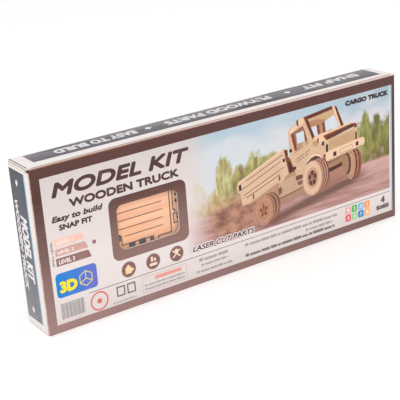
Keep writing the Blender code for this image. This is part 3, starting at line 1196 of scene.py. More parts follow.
    def build_folds(self) -> list[bpy.types.Object]:
        """The four folds that move: lid, tuck flap and the two dust flaps."""
        lid_half = self.lid_high.x - self.rim
        along = (np.array([-lid_half, 0, 0]), np.array([lid_half, 0, 0]))
        rear = np.array([0.0, self.back - self.fold, self.top - self.fold])
        pale = self.bare_finish
        dark = CardBlank("tuck_print", ink(84, 48, 38), (0.0, -1.0, 0.0)).material()
        dress(frame["nodes"]["top_tuck_flap"], dark)
        standing = np.array([0.0, 1.0, 0.0])
        strips = [self.fold_strip("lid_fold_strip", along, rear, standing, pale)]
        tuck_half = self.tuck_high.x
        along = (np.array([-tuck_half, 0, 0]), np.array([tuck_half, 0, 0]))
        front = np.array([0.0, self.tuck_low.y + self.fold, self.top - self.fold])
        facing = np.array([0.0, -1.0, 0.0])
        edge = TuckEdge(self.top).material()
        strips.append(self.fold_strip("tuck_fold_strip", along, front, facing, edge))
        for side, sign in (("left", -1.0), ("right", 1.0)):
            low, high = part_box(f"top_{side}_dust_flap")
            middle = np.array([sign * (self.half - self.fold), 0.0, high.z - self.fold])
            along = (np.array([0.0, low.y, 0.0]), np.array([0.0, high.y, 0.0]))
            facing = np.array([sign, 0.0, 0.0])
            strips.append(self.fold_strip(f"{side}_flap_fold_strip", along, middle, facing, pale))
        return strips

    def build_lid(self) -> bpy.types.Object:
        """The lid between its two folds: a flat sheet whose ends are rounded in plan."""
        near, far = self.tuck_low.y + self.fold, self.back - self.fold
        half = self.lid_high.x
        outline = oblong(-half / MM, near / MM, half / MM, far / MM, 0.6, 4) * MM
        levels = [self.lid_low.z, self.lid_low.z + self.rim, self.lid_high.z - self.rim, self.lid_high.z]
        inward = np.array([self.rim, 0.0, 0.0, self.rim])
        sign = np.sign(outline)
        size = len(outline)
        rows = [
            np.column_stack([outline - sign * inset, np.full(size, z)]) for z, inset in zip(levels, inward)
        ]
        lid = new_piece("lid_sheet", np.vstack(rows), capped_faces(4, size), [self.bare_finish])
        face_outward(lid.data)
        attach(lid, "lid")
        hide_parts("top_lid")
        return lid

    def dress_card_nodes(self) -> None:
        """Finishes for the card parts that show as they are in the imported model."""
        under = CardBlank("bottom_print", ink(150, 122, 116), (0.0, 0.0, -1.0)).material()
        dress(frame["nodes"]["bottom_outer_panel"], under)
        bare = [
            "glue_seam", "bottom_inner_panel", "bottom_left_flap", "bottom_right_flap",
            "top_left_dust_flap", "top_right_dust_flap",
        ]
        for name in bare:
            dress(frame["nodes"][name], self.bare_finish)
        dress(frame["nodes"]["window_film"], FilmFinish().material())


def dress(item: bpy.types.Object, finish: bpy.types.Material) -> None:
    """Give an object one finish."""
    item.data.materials.clear()
    item.data.materials.append(finish)


# ---------------------------------------------------------------- what is printed on the carton


@dataclass
class FrontPrint:
    """Everything printed on the front wall but the picture: fields, titles, bars, badges, marks.

    The artwork was drawn for a panel 105 mm high, and is stretched to the panel's own height.
    """

    panel: Panel
    window: tuple[float, float, float, float]
    stretch: float

    def field_print_and_shade(self) -> InkSheet:
        """The pale field inside the brown border, the light line at its right and the rule, under painted
        shade by height.
        """
        sheet = InkSheet("field_print_and_shade", self.panel)
        self._framed(sheet, (-136.3, 5.3, 138.9, 98.1), self._opening(0.15), FIELD)
        sheet.area(oblong(137.4, 5.6, 138.7, 97.9), ink(170, 205, 222))
        sheet.area(oblong(136.7, 5.6, 137.4, 97.9), WHITE)
        sheet.area([(-113, 19.1), (136.6, 20.2), (136.6, 20.6), (-113, 19.5)], ink(96, 84, 84))
        return sheet

    def _opening(self, gap: float) -> Points:
        """The window's outline on the drawing, a little larger than the cut."""
        left, low, right, high = self.window
        low, high = low / self.stretch, high / self.stretch
        return oblong(left - gap, low - gap, right + gap, high + gap, WINDOW_CORNER + gap, 8)

    def window_frame(self) -> InkSheet:
        """The wide brown frame round the window."""
        sheet = InkSheet("window_frame_print", self.panel, base=0.018)
        inner = self._opening(0.05)
        (left, low), (right, high) = inner.min(axis=0), inner.max(axis=0)
        self._framed(sheet, (left - 5.2, low - 6.1, right + 6.7, high + 5.2), inner, FIELD, corner=5.0)
        return sheet

    def _framed(
        self, sheet: InkSheet, outer: Sequence[float], inner: Points, tint: Colour, corner: float = 0.0
    ) -> None:
        """A filled oblong that leaves the window free, printed as a left and a right half.

        Args:
            sheet: the sheet to print on.
            outer: left, low, right and high of the oblong.
            inner: the outline that stays free.
            tint: its colour.
            corner: the radius of its corners.
        """
        rim = oblong(*outer, corner, 6)
        middle = (inner[:, 0].min() + inner[:, 0].max()) / 2
        low, high = outer[1], outer[3]
        low_inner, high_inner = inner[:, 1].min(), inner[:, 1].max()
        for side in (-1.0, 1.0):
            rim_part, inner_part = (part[(part[:, 0] - middle) * side > 0] for part in (rim, inner))
            ends = (low, high, high_inner, low_inner)
            if side < 0:
                rim_part = np.roll(rim_part, len(rim_part) // 2, axis=0)
                inner_part = np.roll(inner_part, len(inner_part) // 2, axis=0)
                ends = (high, low, low_inner, high_inner)
            first, second, third, fourth = ((middle, up) for up in ends)
            sheet.area([first, *rim_part, second, third, *inner_part[::-1], fourth], tint)

    def title_print(self) -> InkSheet:
        """The two title lines, the two small lines under them and the model's name."""
        sheet = InkSheet("title_print", self.panel, base=0.016)
        sheet.words("MODEL KIT", (-130, 84.4, -33, 93.6), DARK_BROWN, 0.65, Slant.LEANING)
        sheet.words("WOODEN TRUCK", (-119.2, 76.3, -41.8, 81.7), DARK_BROWN, 0.42)
        sheet.words("Easy to build", (-131.8, 68.6, -97.2, 73.4), DARK_BROWN, 0.26, Slant.LEANING)
        sheet.words("SNAP FIT", (-127.6, 64.0, -105.0, 67.6), DARK_BROWN, 0.26)
        sheet.words("CARGO TRUCK", (96.0, 91.5, 135.4, 95.2), ink(52, 38, 38), 0.42)
        return sheet

    def level_bars(self) -> InkSheet:
        """Three stacked level bars, a marker and their upright caption."""
        sheet = InkSheet("level_bars", self.panel, base=0.016)
        rows = (
            (54.7, 59.3, -111.6, -113.0, ink(236, 190, 176), ink(248, 222, 212)),
            (48.7, 53.2, -109.9, -111.2, ink(202, 156, 146), ink(236, 214, 206)),
            (42.3, 47.3, -108.3, -109.6, ink(142, 106, 100), ink(232, 214, 208)),
        )
        for number, (low, high, foot, head, tint, letter) in enumerate(rows, start=1):
            sheet.area([(-132, low), (foot, low), (head, high - 1.0), (head - 1.0, high), (-132, high)], tint)
            sheet.words(f"LEVEL {number}", (-130.4, low + 1.0, -119.5, high - 1.3), letter, 0.15)
        sheet.words("SKILL LEVEL", (-134.6, 43.0, -133.3, 58.6), GREY, 0.06, reading=Reading.UPWARD)
        sheet.area(spot(-105.6, 51, 1.3), ink(150, 100, 108))
        return sheet

    def blue_label(self) -> InkSheet:
        """The blue label with two yellow characters and the outline of a cube."""
        sheet = InkSheet("blue_label", self.panel, base=0.016)
        left, right, low, high = -134.0, -106.0, 22.0, 37.8
        stripes, corner = 14, 2.5
        sheet.area(oblong(left, low, right, high, corner, 5), ink(14, 126, 200))
        width = (right - left - 2 * corner) / stripes
        for number in range(stripes):
            share = (number + 1) / stripes
            start = left + corner + number * width
            tint = ink(14 + 82 * share, 126 - 16 * share, 200 - 4 * share)
            sheet.area(oblong(start, low, start + width * 1.02, high), tint)
        end = [
            sweep(right - corner, high - corner, 0.0, corner, 0, 90),
            sweep(right - corner, low + corner, 0.0, corner, -90, 0),
            oblong(right - corner, low + corner, right, high - corner),
        ]
        sheet.areas(end, ink(96, 110, 196))
        sheet.words("3D", (-131.8, 24.8, -119.8, 32.4), ink(250, 222, 20), 0.6)
        middle = (-113.8, 29.7)
        tips = spot(*middle, 4.8, steps=12)[1::2]
        cube = [stroke(tip, following, 0.6) for tip, following in zip(tips, np.roll(tips, -1, axis=0))]
        cube += [stroke(middle, tip, 0.6) for tip in tips[1::2]]
        sheet.areas(cube, ink(226, 200, 120))
        return sheet

    def badges(self) -> InkSheet:
        """Three round badges with plain signs: a jigsaw piece, blocks, two tools."""
        sheet = InkSheet("round_badges", self.panel, base=0.016)
        tan, pale = ink(238, 204, 160), ink(236, 212, 190)
        for centre in (-83.8, -65.8, -48.1):
            sheet.area(spot(centre, 26.2, 5.2), ink(126, 90, 84))
            sheet.ring(centre, 26.2, 4.6, 4.8, ink(160, 128, 120))
        sheet.area(oblong(-86.2, 23.4, -81.8, 27.8, 0.4), tan)
        sheet.area(spot(-84.0, 28.3, 1.0), tan)
        sheet.area(spot(-81.3, 25.6, 1.0), tan)
        sheet.area(oblong(-68.6, 23.4, -63.0, 25.2, 0.3), pale)
        sheet.area(oblong(-67.4, 26.2, -65.9, 29.6, 0.3), pale)
        sheet.area(oblong(-65.2, 26.2, -63.7, 28.4, 0.3), pale)
        sheet.area(stroke((-51.0, 24.0), (-45.4, 28.8), 0.9), pale)
        sheet.area(stroke((-51.0, 28.8), (-45.4, 24.0), 0.9), pale)
        sheet.area(oblong(-49.2, 26.6, -47.0, 29.4, 0.4), pale)
        return sheet

    def footer_print(self) -> InkSheet:
        """The bottom row: upright bars, plain signs, fine print as bars, coloured tiles and a count."""
        sheet = InkSheet("footer_print", self.panel, base=0.016)
        self._stripe_code(sheet)
        red = ink(214, 106, 92)
        sheet.ring(-106.3, 12.1, 5.3, 6.3, red)
        sheet.area(spot(-106.3, 12.1, 1.7), red)
        dark = ink(96, 84, 84)
        sheet.box_outline((-93.4, 10.9, -88.2, 16.7), 0.8, dark)
        sheet.box_outline((-85.8, 10.9, -80.6, 16.7), 0.8, dark)
        sheet.fine_line(-97, -80, 6.6, 1.0)
        rose = ink(196, 172, 172)
        sheet.box_outline((-75.0, 7.2, -41.6, 17.4), 0.25, rose)
        sheet.area(oblong(-65.5, 14.0, -45.5, 16.2, 0.3), ink(226, 150, 142))
        fine_print = (
            (-73.4, -43.2, 11.2, 1.1), (-73.4, -43.2, 8.6, 1.1), (-31.5, -7.5, 15.4, 2.1),
            (-30, -9, 12.0, 1.4), (-34, -5.5, 7.9, 1.5), (5.6, 86, 15.3, 1.9),
            (57.5, 81.5, 11.6, 1.6), (5.5, 83.5, 7.8, 1.9, GREY),
        )
        for line in fine_print:
            sheet.fine_line(*line)
        tiles = (
            ink(236, 160, 162), ink(86, 176, 84), ink(130, 182, 222), ink(244, 152, 84),
            ink(226, 92, 92), ink(150, 208, 140), ink(40, 134, 200), ink(246, 180, 120),
        )
        for number, tint in enumerate(tiles):
            across, up = 96.4 + 6.0 * (number % 4), 16.3 - 5.7 * (number // 4)
            sheet.area(oblong(across - 2.4, up - 2.4, across + 2.4, up + 2.4, 0.7), tint)
            sheet.words(str(number + 1), (across - 0.7, up - 1.2, across + 0.7, up + 1.2), WHITE, 0.12)
        sheet.words("4", (127.6, 13.4, 131.4, 18.3), dark, 0.2)
        sheet.words("BOARDS", (123.6, 9.0, 135.2, 12.0), dark, 0.12)
        return sheet

    @staticmethod
    def _stripe_code(sheet: InkSheet) -> None:
        """Upright dark bars of uneven width, from a short repeating rule."""
        at = -132.6
        for number in range(24):
            width = 0.16 + 0.14 * ((number * 7) % 4)
            sheet.area(oblong(at, 8.0, at + width, 18.2), ink(132, 128, 132))
            at += width + 0.20 + 0.10 * ((number * 5) % 3)

    def slogan(self) -> InkSheet:
        """The slogan under the picture, dark letters on a white halo."""
        sheet = InkSheet("slogan_print", self.panel, base=0.36)
        box = np.array([-36.0, 23.4, 13.8, 27.1])
        sheet.words("LASER CUT PARTS", box + 0.5 * np.array([-1, -1, 1, 1]), WHITE, 0.7, Slant.LEANING)
        sheet.words("LASER CUT PARTS", box, ink(88, 56, 52), 0.2, Slant.LEANING)
        return sheet


@dataclass
class TruckPicture:
    """The printed picture of the finished model, drawn from its plates outwards."""

    panel: Panel
    light: Colour = ink(228, 190, 154)
    pale: Colour = ink(230, 194, 160)
    plank: Colour = ink(212, 176, 146)
    middle: Colour = ink(208, 170, 138)
    tan: Colour = ink(186, 144, 110)
    shade: Colour = ink(150, 108, 80)
    line: Colour = ink(116, 74, 50)
    burnt: Colour = ink(122, 54, 28)
    soot: Colour = ink(54, 20, 8)
    sky: Colour = ink(202, 208, 216)

    def print_sheet(self) -> InkSheet:
        """All the picture's shapes, the furthest first."""
        sheet = InkSheet("truck_picture", self.panel, base=0.034)
        self._chassis(sheet)
        self._far_wheel(sheet)
        self._rear_wheel(sheet)
        self._cargo_bed(sheet)
        self._cab(sheet)
        self._front_wheel(sheet)
        self._bonnet(sheet)
        self._bumper(sheet)
        return sheet

    def _chassis(self, sheet: InkSheet) -> None:
        """The rails, the box and the under-bonnet plate behind the wheels."""
        sheet.area([(12, 50), (40, 60), (60, 60), (60, 44), (36, 37), (28, 36), (24, 46)], ink(178, 134, 106))
        sheet.area([(36, 52), (58, 54.5), (58, 44.5), (37, 40.5)], ink(190, 154, 128))
        sheet.area([(34, 41), (60, 44.4), (60, 38.4), (36, 35.4)], ink(166, 124, 104))
        sheet.area([(36, 41.2), (58, 44.6), (58, 43.8), (36, 40.4)], self.line)
        rivets = [oblong(40 + 3 * i, 46 + 0.4 * i, 40.6 + 3 * i, 46.6 + 0.4 * i) for i in range(5)]
        sheet.areas(rivets, self.line)
        sheet.area([(35.4, 48), (38.4, 49), (38.6, 44.4), (36, 43.6)], ink(120, 76, 58))
        sheet.area([(50.5, 52.8), (57, 53.4), (57, 50.4), (51.4, 49.6)], ink(108, 66, 46))
        sheet.area([(51.6, 48.6), (57, 49.2), (57, 46.4), (53, 46)], ink(128, 84, 64))
        ground = [(70, 52), (82, 50.4), (104, 51), (106, 41), (97, 39.6), (80, 38.6), (66, 36)]
        sheet.area(ground, ink(150, 104, 88))
        sheet.area([(79, 49.0), (95, 51.4), (97, 43.6), (82, 41.8)], ink(166, 118, 98))
        sheet.area([(78, 57), (99, 60), (99, 50.6), (79.5, 49.0)], ink(160, 118, 88))
        sheet.area([(79, 57.6), (99, 60.4), (99, 58.0), (79, 54.6)], ink(134, 92, 68))
        sheet.area([(78.8, 51.2), (93.6, 53.6), (94, 50.8), (78.8, 48.2)], ink(92, 46, 32))
        sheet.area([(79.6, 50.4), (93.4, 52.8), (93.6, 51.6), (79.6, 49.2)], self.soot)

    def _far_wheel(self, sheet: InkSheet) -> None:
        """The wheel on the far side, seen past the bumper."""
        sheet.area(spot(105.4, 49.2, 4.6, 10.4), ink(140, 78, 62))
        sheet.area(spot(104.0, 49.2, 4.4, 10.6), ink(98, 48, 34))
        sheet.area(spot(103.0, 49.4, 4.4, 10.6), ink(168, 108, 84))
        sheet.area(spot(101.6, 49.4, 4.4, 10.8), ink(96, 48, 32))
        sheet.area(spot(99.8, 49.4, 4.6, 10.8), ink(182, 138, 106))
        sheet.ring(99.8, 49.4, 8.4, 8.8, ink(136, 92, 66), 0.44)
        sheet.area(spot(96.9, 50.6, 3.2, 7.8), ink(88, 48, 30))
        sheet.area(spot(95.0, 50.6, 3.0, 7.0), ink(158, 116, 84))

    @staticmethod
    def _wheel_layers(
        sheet: InkSheet, centre: Points, size: Points, shifts: Sequence[float], tones: Sequence[Colour]
    ) -> None:
        """Stacked discs behind a wheel, each shifted to the right, the furthest first."""
        for shift, tone in zip(shifts, tones):
            sheet.area(spot(centre[0] + shift, centre[1] + 0.16 * shift, size[0], size[1]), tone)

    @staticmethod
    def _hub_holes(sheet: InkSheet, ring: Points, hole: Sequence[float], tint: Colour) -> None:
        """Five round holes in a hub, one at each point of a ring."""
        for across, up in ring:
            sheet.area(spot(across, up, *hole, 16), tint)

    def _rear_wheel(self, sheet: InkSheet) -> None:
        """The dusty rear wheel with its hub."""
        centre, size = np.array([22.6, 36.2]), np.array([8.0, 10.4])
        tones = (ink(122, 76, 60), ink(162, 114, 90), ink(104, 60, 46), ink(170, 122, 96), ink(104, 60, 44))
        self._wheel_layers(sheet, centre, size * 0.96, (6.4, 4.8, 3.4, 2.0, 0.9), tones)
        sheet.area(spot(*centre, *size), ink(182, 132, 104))
        sheet.ring(22.6, 36.2, 9.2, 9.6, ink(152, 102, 78), 0.77)
        sheet.ring(22.6, 36.2, 5.4, 5.8, ink(146, 96, 72), 0.77)
        sheet.area(spot(22.6, 36.2, 2.6, 3.4), ink(152, 96, 72))
        self._hub_holes(sheet, spot(22.6, 36.2, 2.6, 3.4, 50)[3::10], (0.9, 1.2), ink(122, 68, 50))

    def _cargo_bed(self, sheet: InkSheet) -> None:
        """The planked cargo side with its lobes, slots and tabs."""
        side = [(2.8, 60.3), (1.6, 58), (2.0, 54.4), (4.2, 52.2), (5.4, 44.2), (11.8, 44.4), (14.8, 46.6)]
        side += [(18.0, 46.6), (35, 52.3), (37.6, 51.6), (40.4, 53), (42, 55), (45, 56.4), (43.2, 65)]
        side += [(41.5, 74.2)]
        sheet.area([(4.2, 52.6), (5.2, 43.9), (12.2, 44.0), (20, 47), (20, 53)], ink(196, 152, 130))
        sheet.area(side, self.plank)
        sheet.area([(2.6, 60.6), (41.4, 74.8), (41.6, 73.8), (2.9, 59.6)], self.pale)
        seams = ((9, 59.9, 40, 70.4), (5.5, 54.9, 38.5, 66.3), (7, 50.6, 41, 61.8), (9, 48.6, 37.5, 57.6))
        for left, low, right, high in seams:
            sheet.area(stroke((left, low), (right, high), 0.6), self.line)
            sheet.area(stroke((left, low - 0.6), (right, high - 0.6), 0.35), self.pale)
        sheet.area([(3.2, 58.2), (5.2, 59), (5.4, 55), (3.6, 54.4)], self.soot)
        sheet.area([(14, 49.4), (15.4, 49.8), (15.2, 46.8), (14.2, 46.6)], self.burnt)
        sheet.area([(36.2, 56.4), (37.6, 56.8), (37.6, 53.6), (36.4, 53.4)], self.burnt)
        sheet.area([(41.6, 73.9), (44.6, 72.9), (44.9, 68.4), (42.4, 68.9)], self.burnt)
        sheet.area([(42.2, 68.8), (45, 68.2), (48.2, 64), (50.4, 57), (45, 56.2), (43.4, 64)], self.burnt)
        sheet.area([(42.6, 72.6), (43.8, 72.2), (44, 69.4), (43, 69.6)], self.soot)
        sheet.area([(44.4, 64.8), (47, 62.8), (48.6, 57.4), (46, 57)], self.soot)
        sheet.area(oblong(40.2, 65.4, 42.2, 67.6, 0.3), self.soot)

    def _cab(self, sheet: InkSheet) -> None:
        """The cab side, the see-through windows, the roof band and the windscreen posts."""
        sheet.area([(58, 91), (84, 94), (92, 79), (76, 76), (64, 76)], ink(172, 124, 92))
        sheet.area([(60, 90), (84, 92.4), (88.6, 84), (70, 88.4), (62, 88)], ink(196, 158, 116))
        sheet.area([(64.4, 83.6), (70, 84), (71.2, 76.8), (66.6, 76)], self.sky)
        sheet.area([(70, 84), (72.4, 84.4), (73.4, 76.6), (71.2, 76.6)], self.burnt)
        sheet.area([(77, 85.2), (85.6, 88.2), (90, 79), (78, 77)], self.sky)
        sheet.area([(75, 84.8), (77.2, 85.4), (78.2, 77), (76, 76.6)], self.burnt)
        sheet.area([(79, 78.2), (83.4, 78.6), (84.4, 77.8), (79, 77.4)], self.shade)
        side = [(45.8, 84.2), (47, 86.4), (53, 89), (53.6, 91), (59, 91.8), (66.4, 75.4), (76, 73)]
        side += [(77.6, 64), (75, 62), (68, 65.5), (60, 60), (58, 52.5), (51, 54), (50, 57.6), (46.6, 66)]
        sheet.area(side, self.middle)
        sheet.area([(46.4, 84.4), (47.6, 86.2), (58.6, 91), (59.2, 89), (48, 83.6)], self.pale)
        sheet.area([(53.2, 91), (59.2, 91.8), (59.8, 88), (56, 87), (53, 87)], self.light)
        sheet.area([(53, 91), (54.6, 91.2), (54.8, 87.4), (53.2, 87.2)], self.burnt)
        sheet.area([(47.8, 82.8), (58.4, 86.2), (61.8, 75), (50.8, 70.6)], self.shade)
        sheet.area([(52.4, 82.2), (58.8, 83), (59.6, 75.2), (53, 75)], self.sky)
        sheet.area([(47.8, 82.8), (50.4, 83.4), (53, 71.4), (50.8, 70.6)], self.burnt)
        sheet.area([(58.6, 86.2), (59.6, 83), (62, 75.4), (60.4, 75)], self.burnt)
        sheet.area([(48, 82.9), (58.2, 86.2), (58, 85.3), (48.4, 82)], self.burnt)
        sheet.area([(52.6, 75.2), (60.4, 75.6), (60, 74), (52, 72.4)], ink(176, 142, 106))
        sheet.area([(59.4, 92), (61.8, 92.2), (68.6, 76), (66.2, 75.2)], self.burnt)
        sheet.area([(60.6, 91.6), (61.4, 91.8), (67.6, 76.4), (66.8, 76.2)], self.soot)
        sheet.area([(59.2, 92), (84, 94.6), (84.6, 92.2), (61, 89.6)], self.burnt)
        sheet.area([(61.6, 91.4), (83.8, 93.6), (84, 92.8), (61.8, 90.6)], self.soot)
        sheet.area([(84.2, 94.2), (86.4, 93.8), (92, 79), (89.4, 79)], self.light)
        sheet.area([(86.2, 94), (88, 93.6), (94.2, 79), (91.6, 79)], self.burnt)
        sheet.area([(86.9, 93), (87.7, 92.8), (93.2, 79.6), (92.2, 79.6)], self.soot)
        grooves = ((51.8, 62.4, 62, 66.4), (51.8, 64.6, 64, 68.8), (50.6, 69.6, 63, 74.2))
        for left, low, right, high in grooves:
            sheet.area(stroke((left, low), (right, high), 0.5), self.line)
        sheet.area([(58, 74.6), (59.6, 75.2), (60, 62), (58.4, 61.4)], ink(204, 172, 134))
        sheet.area(oblong(46.2, 70.6, 48.4, 72.8, 0.4), self.soot)
        sheet.area(oblong(49, 57.8, 51.2, 60, 0.4), self.soot)
        sheet.area([(66.4, 73.4), (70.4, 73.8), (70.8, 70), (68, 69.4), (66.4, 70.8)], self.tan)

    def _front_wheel(self, sheet: InkSheet) -> None:
        """The arch and the near front wheel, with its ring, spokes and stacked tread."""
        sheet.area(sweep(67.2, 55.4, 6.6, 10.4, 20, 140, 0.92), self.pale)
        sheet.area(sweep(67.2, 55.4, 9.7, 10.0, 20, 140, 0.92), self.line)
        sheet.area(
            [(60.6, 59.6), (64, 62.4), (68, 63.4), (72, 61.8), (77.4, 55), (78.6, 49.6), (70, 50), (60, 52)],
            ink(74, 40, 30),
        )
        centre, size = np.array([65.0, 48.2]), np.array([8.6, 12.2])
        tones = (
            ink(96, 50, 38), ink(188, 138, 114), ink(104, 54, 40), ink(186, 136, 112), ink(100, 52, 38),
            ink(190, 142, 116), ink(110, 60, 44),
        )
        self._wheel_layers(sheet, centre, size * 0.97, (6.6, 5.6, 4.6, 3.6, 2.6, 1.7, 0.8), tones)
        sheet.area(spot(*centre, *size), ink(218, 178, 148))
        sheet.ring(65, 48.2, 11.2, 11.5, ink(190, 148, 118), 0.7)
        sheet.ring(65, 48.2, 6.9, 7.3, self.line, 0.71)
        sheet.area(spot(65, 48.2, 4.2, 6.0), ink(150, 102, 80))
        self._hub_holes(sheet, spot(65, 48.2, 2.5, 3.7, 20)[1::4], (1.2, 1.7), ink(84, 40, 28))
        sheet.area(spot(65, 48.2, 1.3, 1.8), ink(158, 108, 90))

    def _bonnet(self, sheet: InkSheet) -> None:
        """The bonnet: pale top, burnt front edge, side panel and the grille under it."""
        sheet.area(
            [(66.4, 76), (72, 77.4), (100, 79.4), (104.6, 77.6), (78.5, 72.4), (76, 69), (72, 71.4)],
            self.light,
        )
        sheet.area([(75.4, 75.6), (78.4, 71.6), (104.6, 76.2), (104.8, 78.2), (101, 78.6)], self.burnt)
        sheet.area([(78.6, 74.2), (79.4, 73.2), (103, 76.8), (102, 77.8)], self.soot)
        sheet.area([(102.6, 78.6), (105.6, 77.8), (106.4, 74.8), (104, 75)], self.burnt)
        sheet.area(
            [(77.6, 72.4), (79.2, 71.8), (106, 75.2), (106.2, 66.4), (105, 65.4), (79.2, 62.8), (77.4, 64)],
            ink(206, 176, 134),
        )
        sheet.area([(80.2, 71), (103.4, 74), (103.8, 66.4), (80.4, 64.4)], ink(190, 150, 112))
        sheet.area([(77.6, 68.8), (79.8, 69), (79.6, 63.6), (77.8, 63.4)], self.soot)
        sheet.area([(104, 71.8), (106, 72), (106, 66.6), (104.2, 66.4)], self.burnt)
        sheet.area([(74, 71.6), (76.4, 71.8), (76.6, 69), (74.4, 68.8)], self.soot)
        sheet.area([(70.4, 75), (71.6, 75), (71.4, 71.6), (70, 72)], self.burnt)

    def _bumper(self, sheet: InkSheet) -> None:
        """The long bumper plate with its square holes."""
        sheet.area(
            [(75.2, 61.8), (76.6, 62.6), (80.4, 57.6), (82, 56.2), (79.4, 56.6), (76.2, 59.2)],
            self.burnt,
        )
        sheet.area(spot(80.2, 60.0, 3.2, 3.4), self.pale)
        plate = [(77.2, 62.4), (79, 63.4), (111, 66.9), (112.6, 65.4), (112.8, 62.6), (111, 60.6)]
        plate += [(82, 56.7), (80, 57)]
        sheet.area(plate, self.pale)
        sheet.area(spot(110.8, 63.8, 2.2, 3.1), self.pale)
        sheet.area(stroke((80, 57), (111, 60.9), 0.5), self.line)
        sheet.area([(84, 62), (87, 62.4), (87, 59.2), (84, 58.9)], self.soot)
        sheet.area([(104.6, 64.5), (107.2, 64.8), (107.2, 61.8), (104.6, 61.6)], self.soot)
        sides = (
            (90, 62.4, 101.4, 63.8), (90, 59.6, 101.4, 61),
            (90, 59.6, 90, 62.4), (101.4, 61, 101.4, 63.8),
        )
        for left, low, right, high in sides:
            sheet.area(stroke((left, low), (right, high), 0.3), self.line)


@dataclass
class EndPrint:
    """The print on an end wall: a grey-blue band with words that run down it, in a pale margin."""

    name: str
    panel: Panel
    half: float = 14.5
    top: float = 104.2
    stripes: int = 26

    def print_sheet(self) -> InkSheet:
        """Pale margin, band in steps of tone, light line, words and diamonds."""
        sheet = InkSheet(self.name, self.panel)
        reach = self.half - 1.35
        sheet.area(oblong(-reach, 0.4, reach, self.top), ink(236, 226, 222))
        left, right, low, high = -reach + 0.1, 6.6, 4.8, self.top - 1.8
        step = (high - low) / self.stripes
        for number in range(self.stripes):
            share = number / (self.stripes - 1)
            tint = ink(128 - 78 * share, 126 - 72 * share, 130 - 62 * share)
            sheet.area(oblong(left, low + number * step, right, low + (number + 1.02) * step), tint)
        for share, other in scattered(40):
            at = low + (high - low) * share
            start = left + 0.6 + (right - left - 5.6) * other
            sheet.area(oblong(start, at, start + 4.5, at + 0.15), ink(112, 110, 118))
        sheet.area(oblong(right, low, right + 0.8, high), ink(112, 176, 210))
        for text, box, tint, bold in (
            ("MODEL KIT", (-5.0, 31, 3.8, 74), WHITE, 0.42),
            ("WOODEN TRUCK", (-10.8, 24, -6.4, 83), ink(226, 222, 224), 0.3),
        ):
            sheet.words(text, box, tint, bold, Slant.LEANING, Reading.DOWNWARD)
        for up in (94.6, 11.6):
            sheet.area(diamond(-4.0, up, 1.6, 2.4), WHITE)
        return sheet


@dataclass
class LidPrint:
    """The print on the lid: a grey band with words that read from behind, in a pale margin."""

    panel: Panel
    half: float
    near: float
    far: float
    stripes: int = 12

    def print_sheet(self) -> InkSheet:
        """Margin, band, the dark line at the left end, words and diamonds."""
        sheet = InkSheet("lid_print", self.panel)
        margin = oblong(0.8 - self.half, self.near + 0.1, self.half - 0.8, self.far - 0.1)
        sheet.area(margin, ink(238, 230, 228))
        left, right, high = -self.half + 8.6, self.half - 6.0, self.far - 1.0
        starts = np.array([self.near + 8.0, self.near + 4.6])
        for number in range(self.stripes):
            low = starts + (high - starts) * number / self.stripes
            top = starts + (high - starts) * (number + 1.02) / self.stripes
            tone = 78.0 + 50.0 * number / (self.stripes - 1)
            strip = [(left, low[0]), (right, low[1]), (right, min(top[1], high)), (left, min(top[0], high))]
            sheet.area(strip, ink(tone, tone - 4, tone + 3))
        low = starts[0]
        for number, (share, other) in enumerate(scattered(70)):
            at = low + (high - low) * share
            start = left + (right - left - 26.0) * other
            tone = 92.0 + 60.0 * ((number * 3) % 4) / 3
            sheet.area(oblong(start, at, start + 26.0, min(at + 0.35, high)), ink(tone, tone - 3, tone + 3))
        sheet.area(oblong(0.2 - self.half, self.near + 1.0, 0.8 - self.half, self.far), ink(92, 80, 76))
        middle = (low + high) / 2
        rows = (("EASY TO BUILD", -116, -59), ("PLYWOOD PARTS", -37, 46), ("SNAP FIT", 74, 124))
        for text, start, end in rows:
            box = (start, middle - 3.8, end, middle + 3.8)
            sheet.words(text, box, ink(222, 218, 220), 0.5, Slant.UPRIGHT, Reading.UPSIDE_DOWN)
        for across in (-50.0, 61.0):
            sheet.area(diamond(across, middle, 2.6, 2.2), WHITE)
        return sheet


@dataclass
class BackPrint:
    panel: Panel

    def print_sheet(self) -> InkSheet:
        """Field, title, a row of wheels and planks in thin line, and fine print as bars."""
        sheet = InkSheet("back_print", self.panel)
        sheet.area(oblong(-136.5, 6, 136.5, 98), FIELD)
        sheet.words("WOODEN TRUCK", (-60, 84, 60, 92), DARK_BROWN, 0.5)
        sheet.words("PARTS", (-12, 76, 12, 80), DARK_BROWN, 0.25)
        for number in range(4):
            across = -108 + 30 * number
            for radius in (11.0, 6.5, 2.6):
                sheet.ring(across, 54, radius - 0.4, radius, DARK_BROWN)
        for number in range(4):
            low = 42.0 + 7.0 * number
            sheet.area(oblong(22, low, 112, low + 0.4), DARK_BROWN)
        for across in (22.0, 111.6):
            sheet.area(oblong(across, 42, across + 0.4, 63.4), DARK_BROWN)
        for low in (26.0, 21.0, 16.0, 11.0):
            sheet.fine_line(-120, 120, low, 2.0)
        return sheet


# ---------------------------------------------------------------- boards


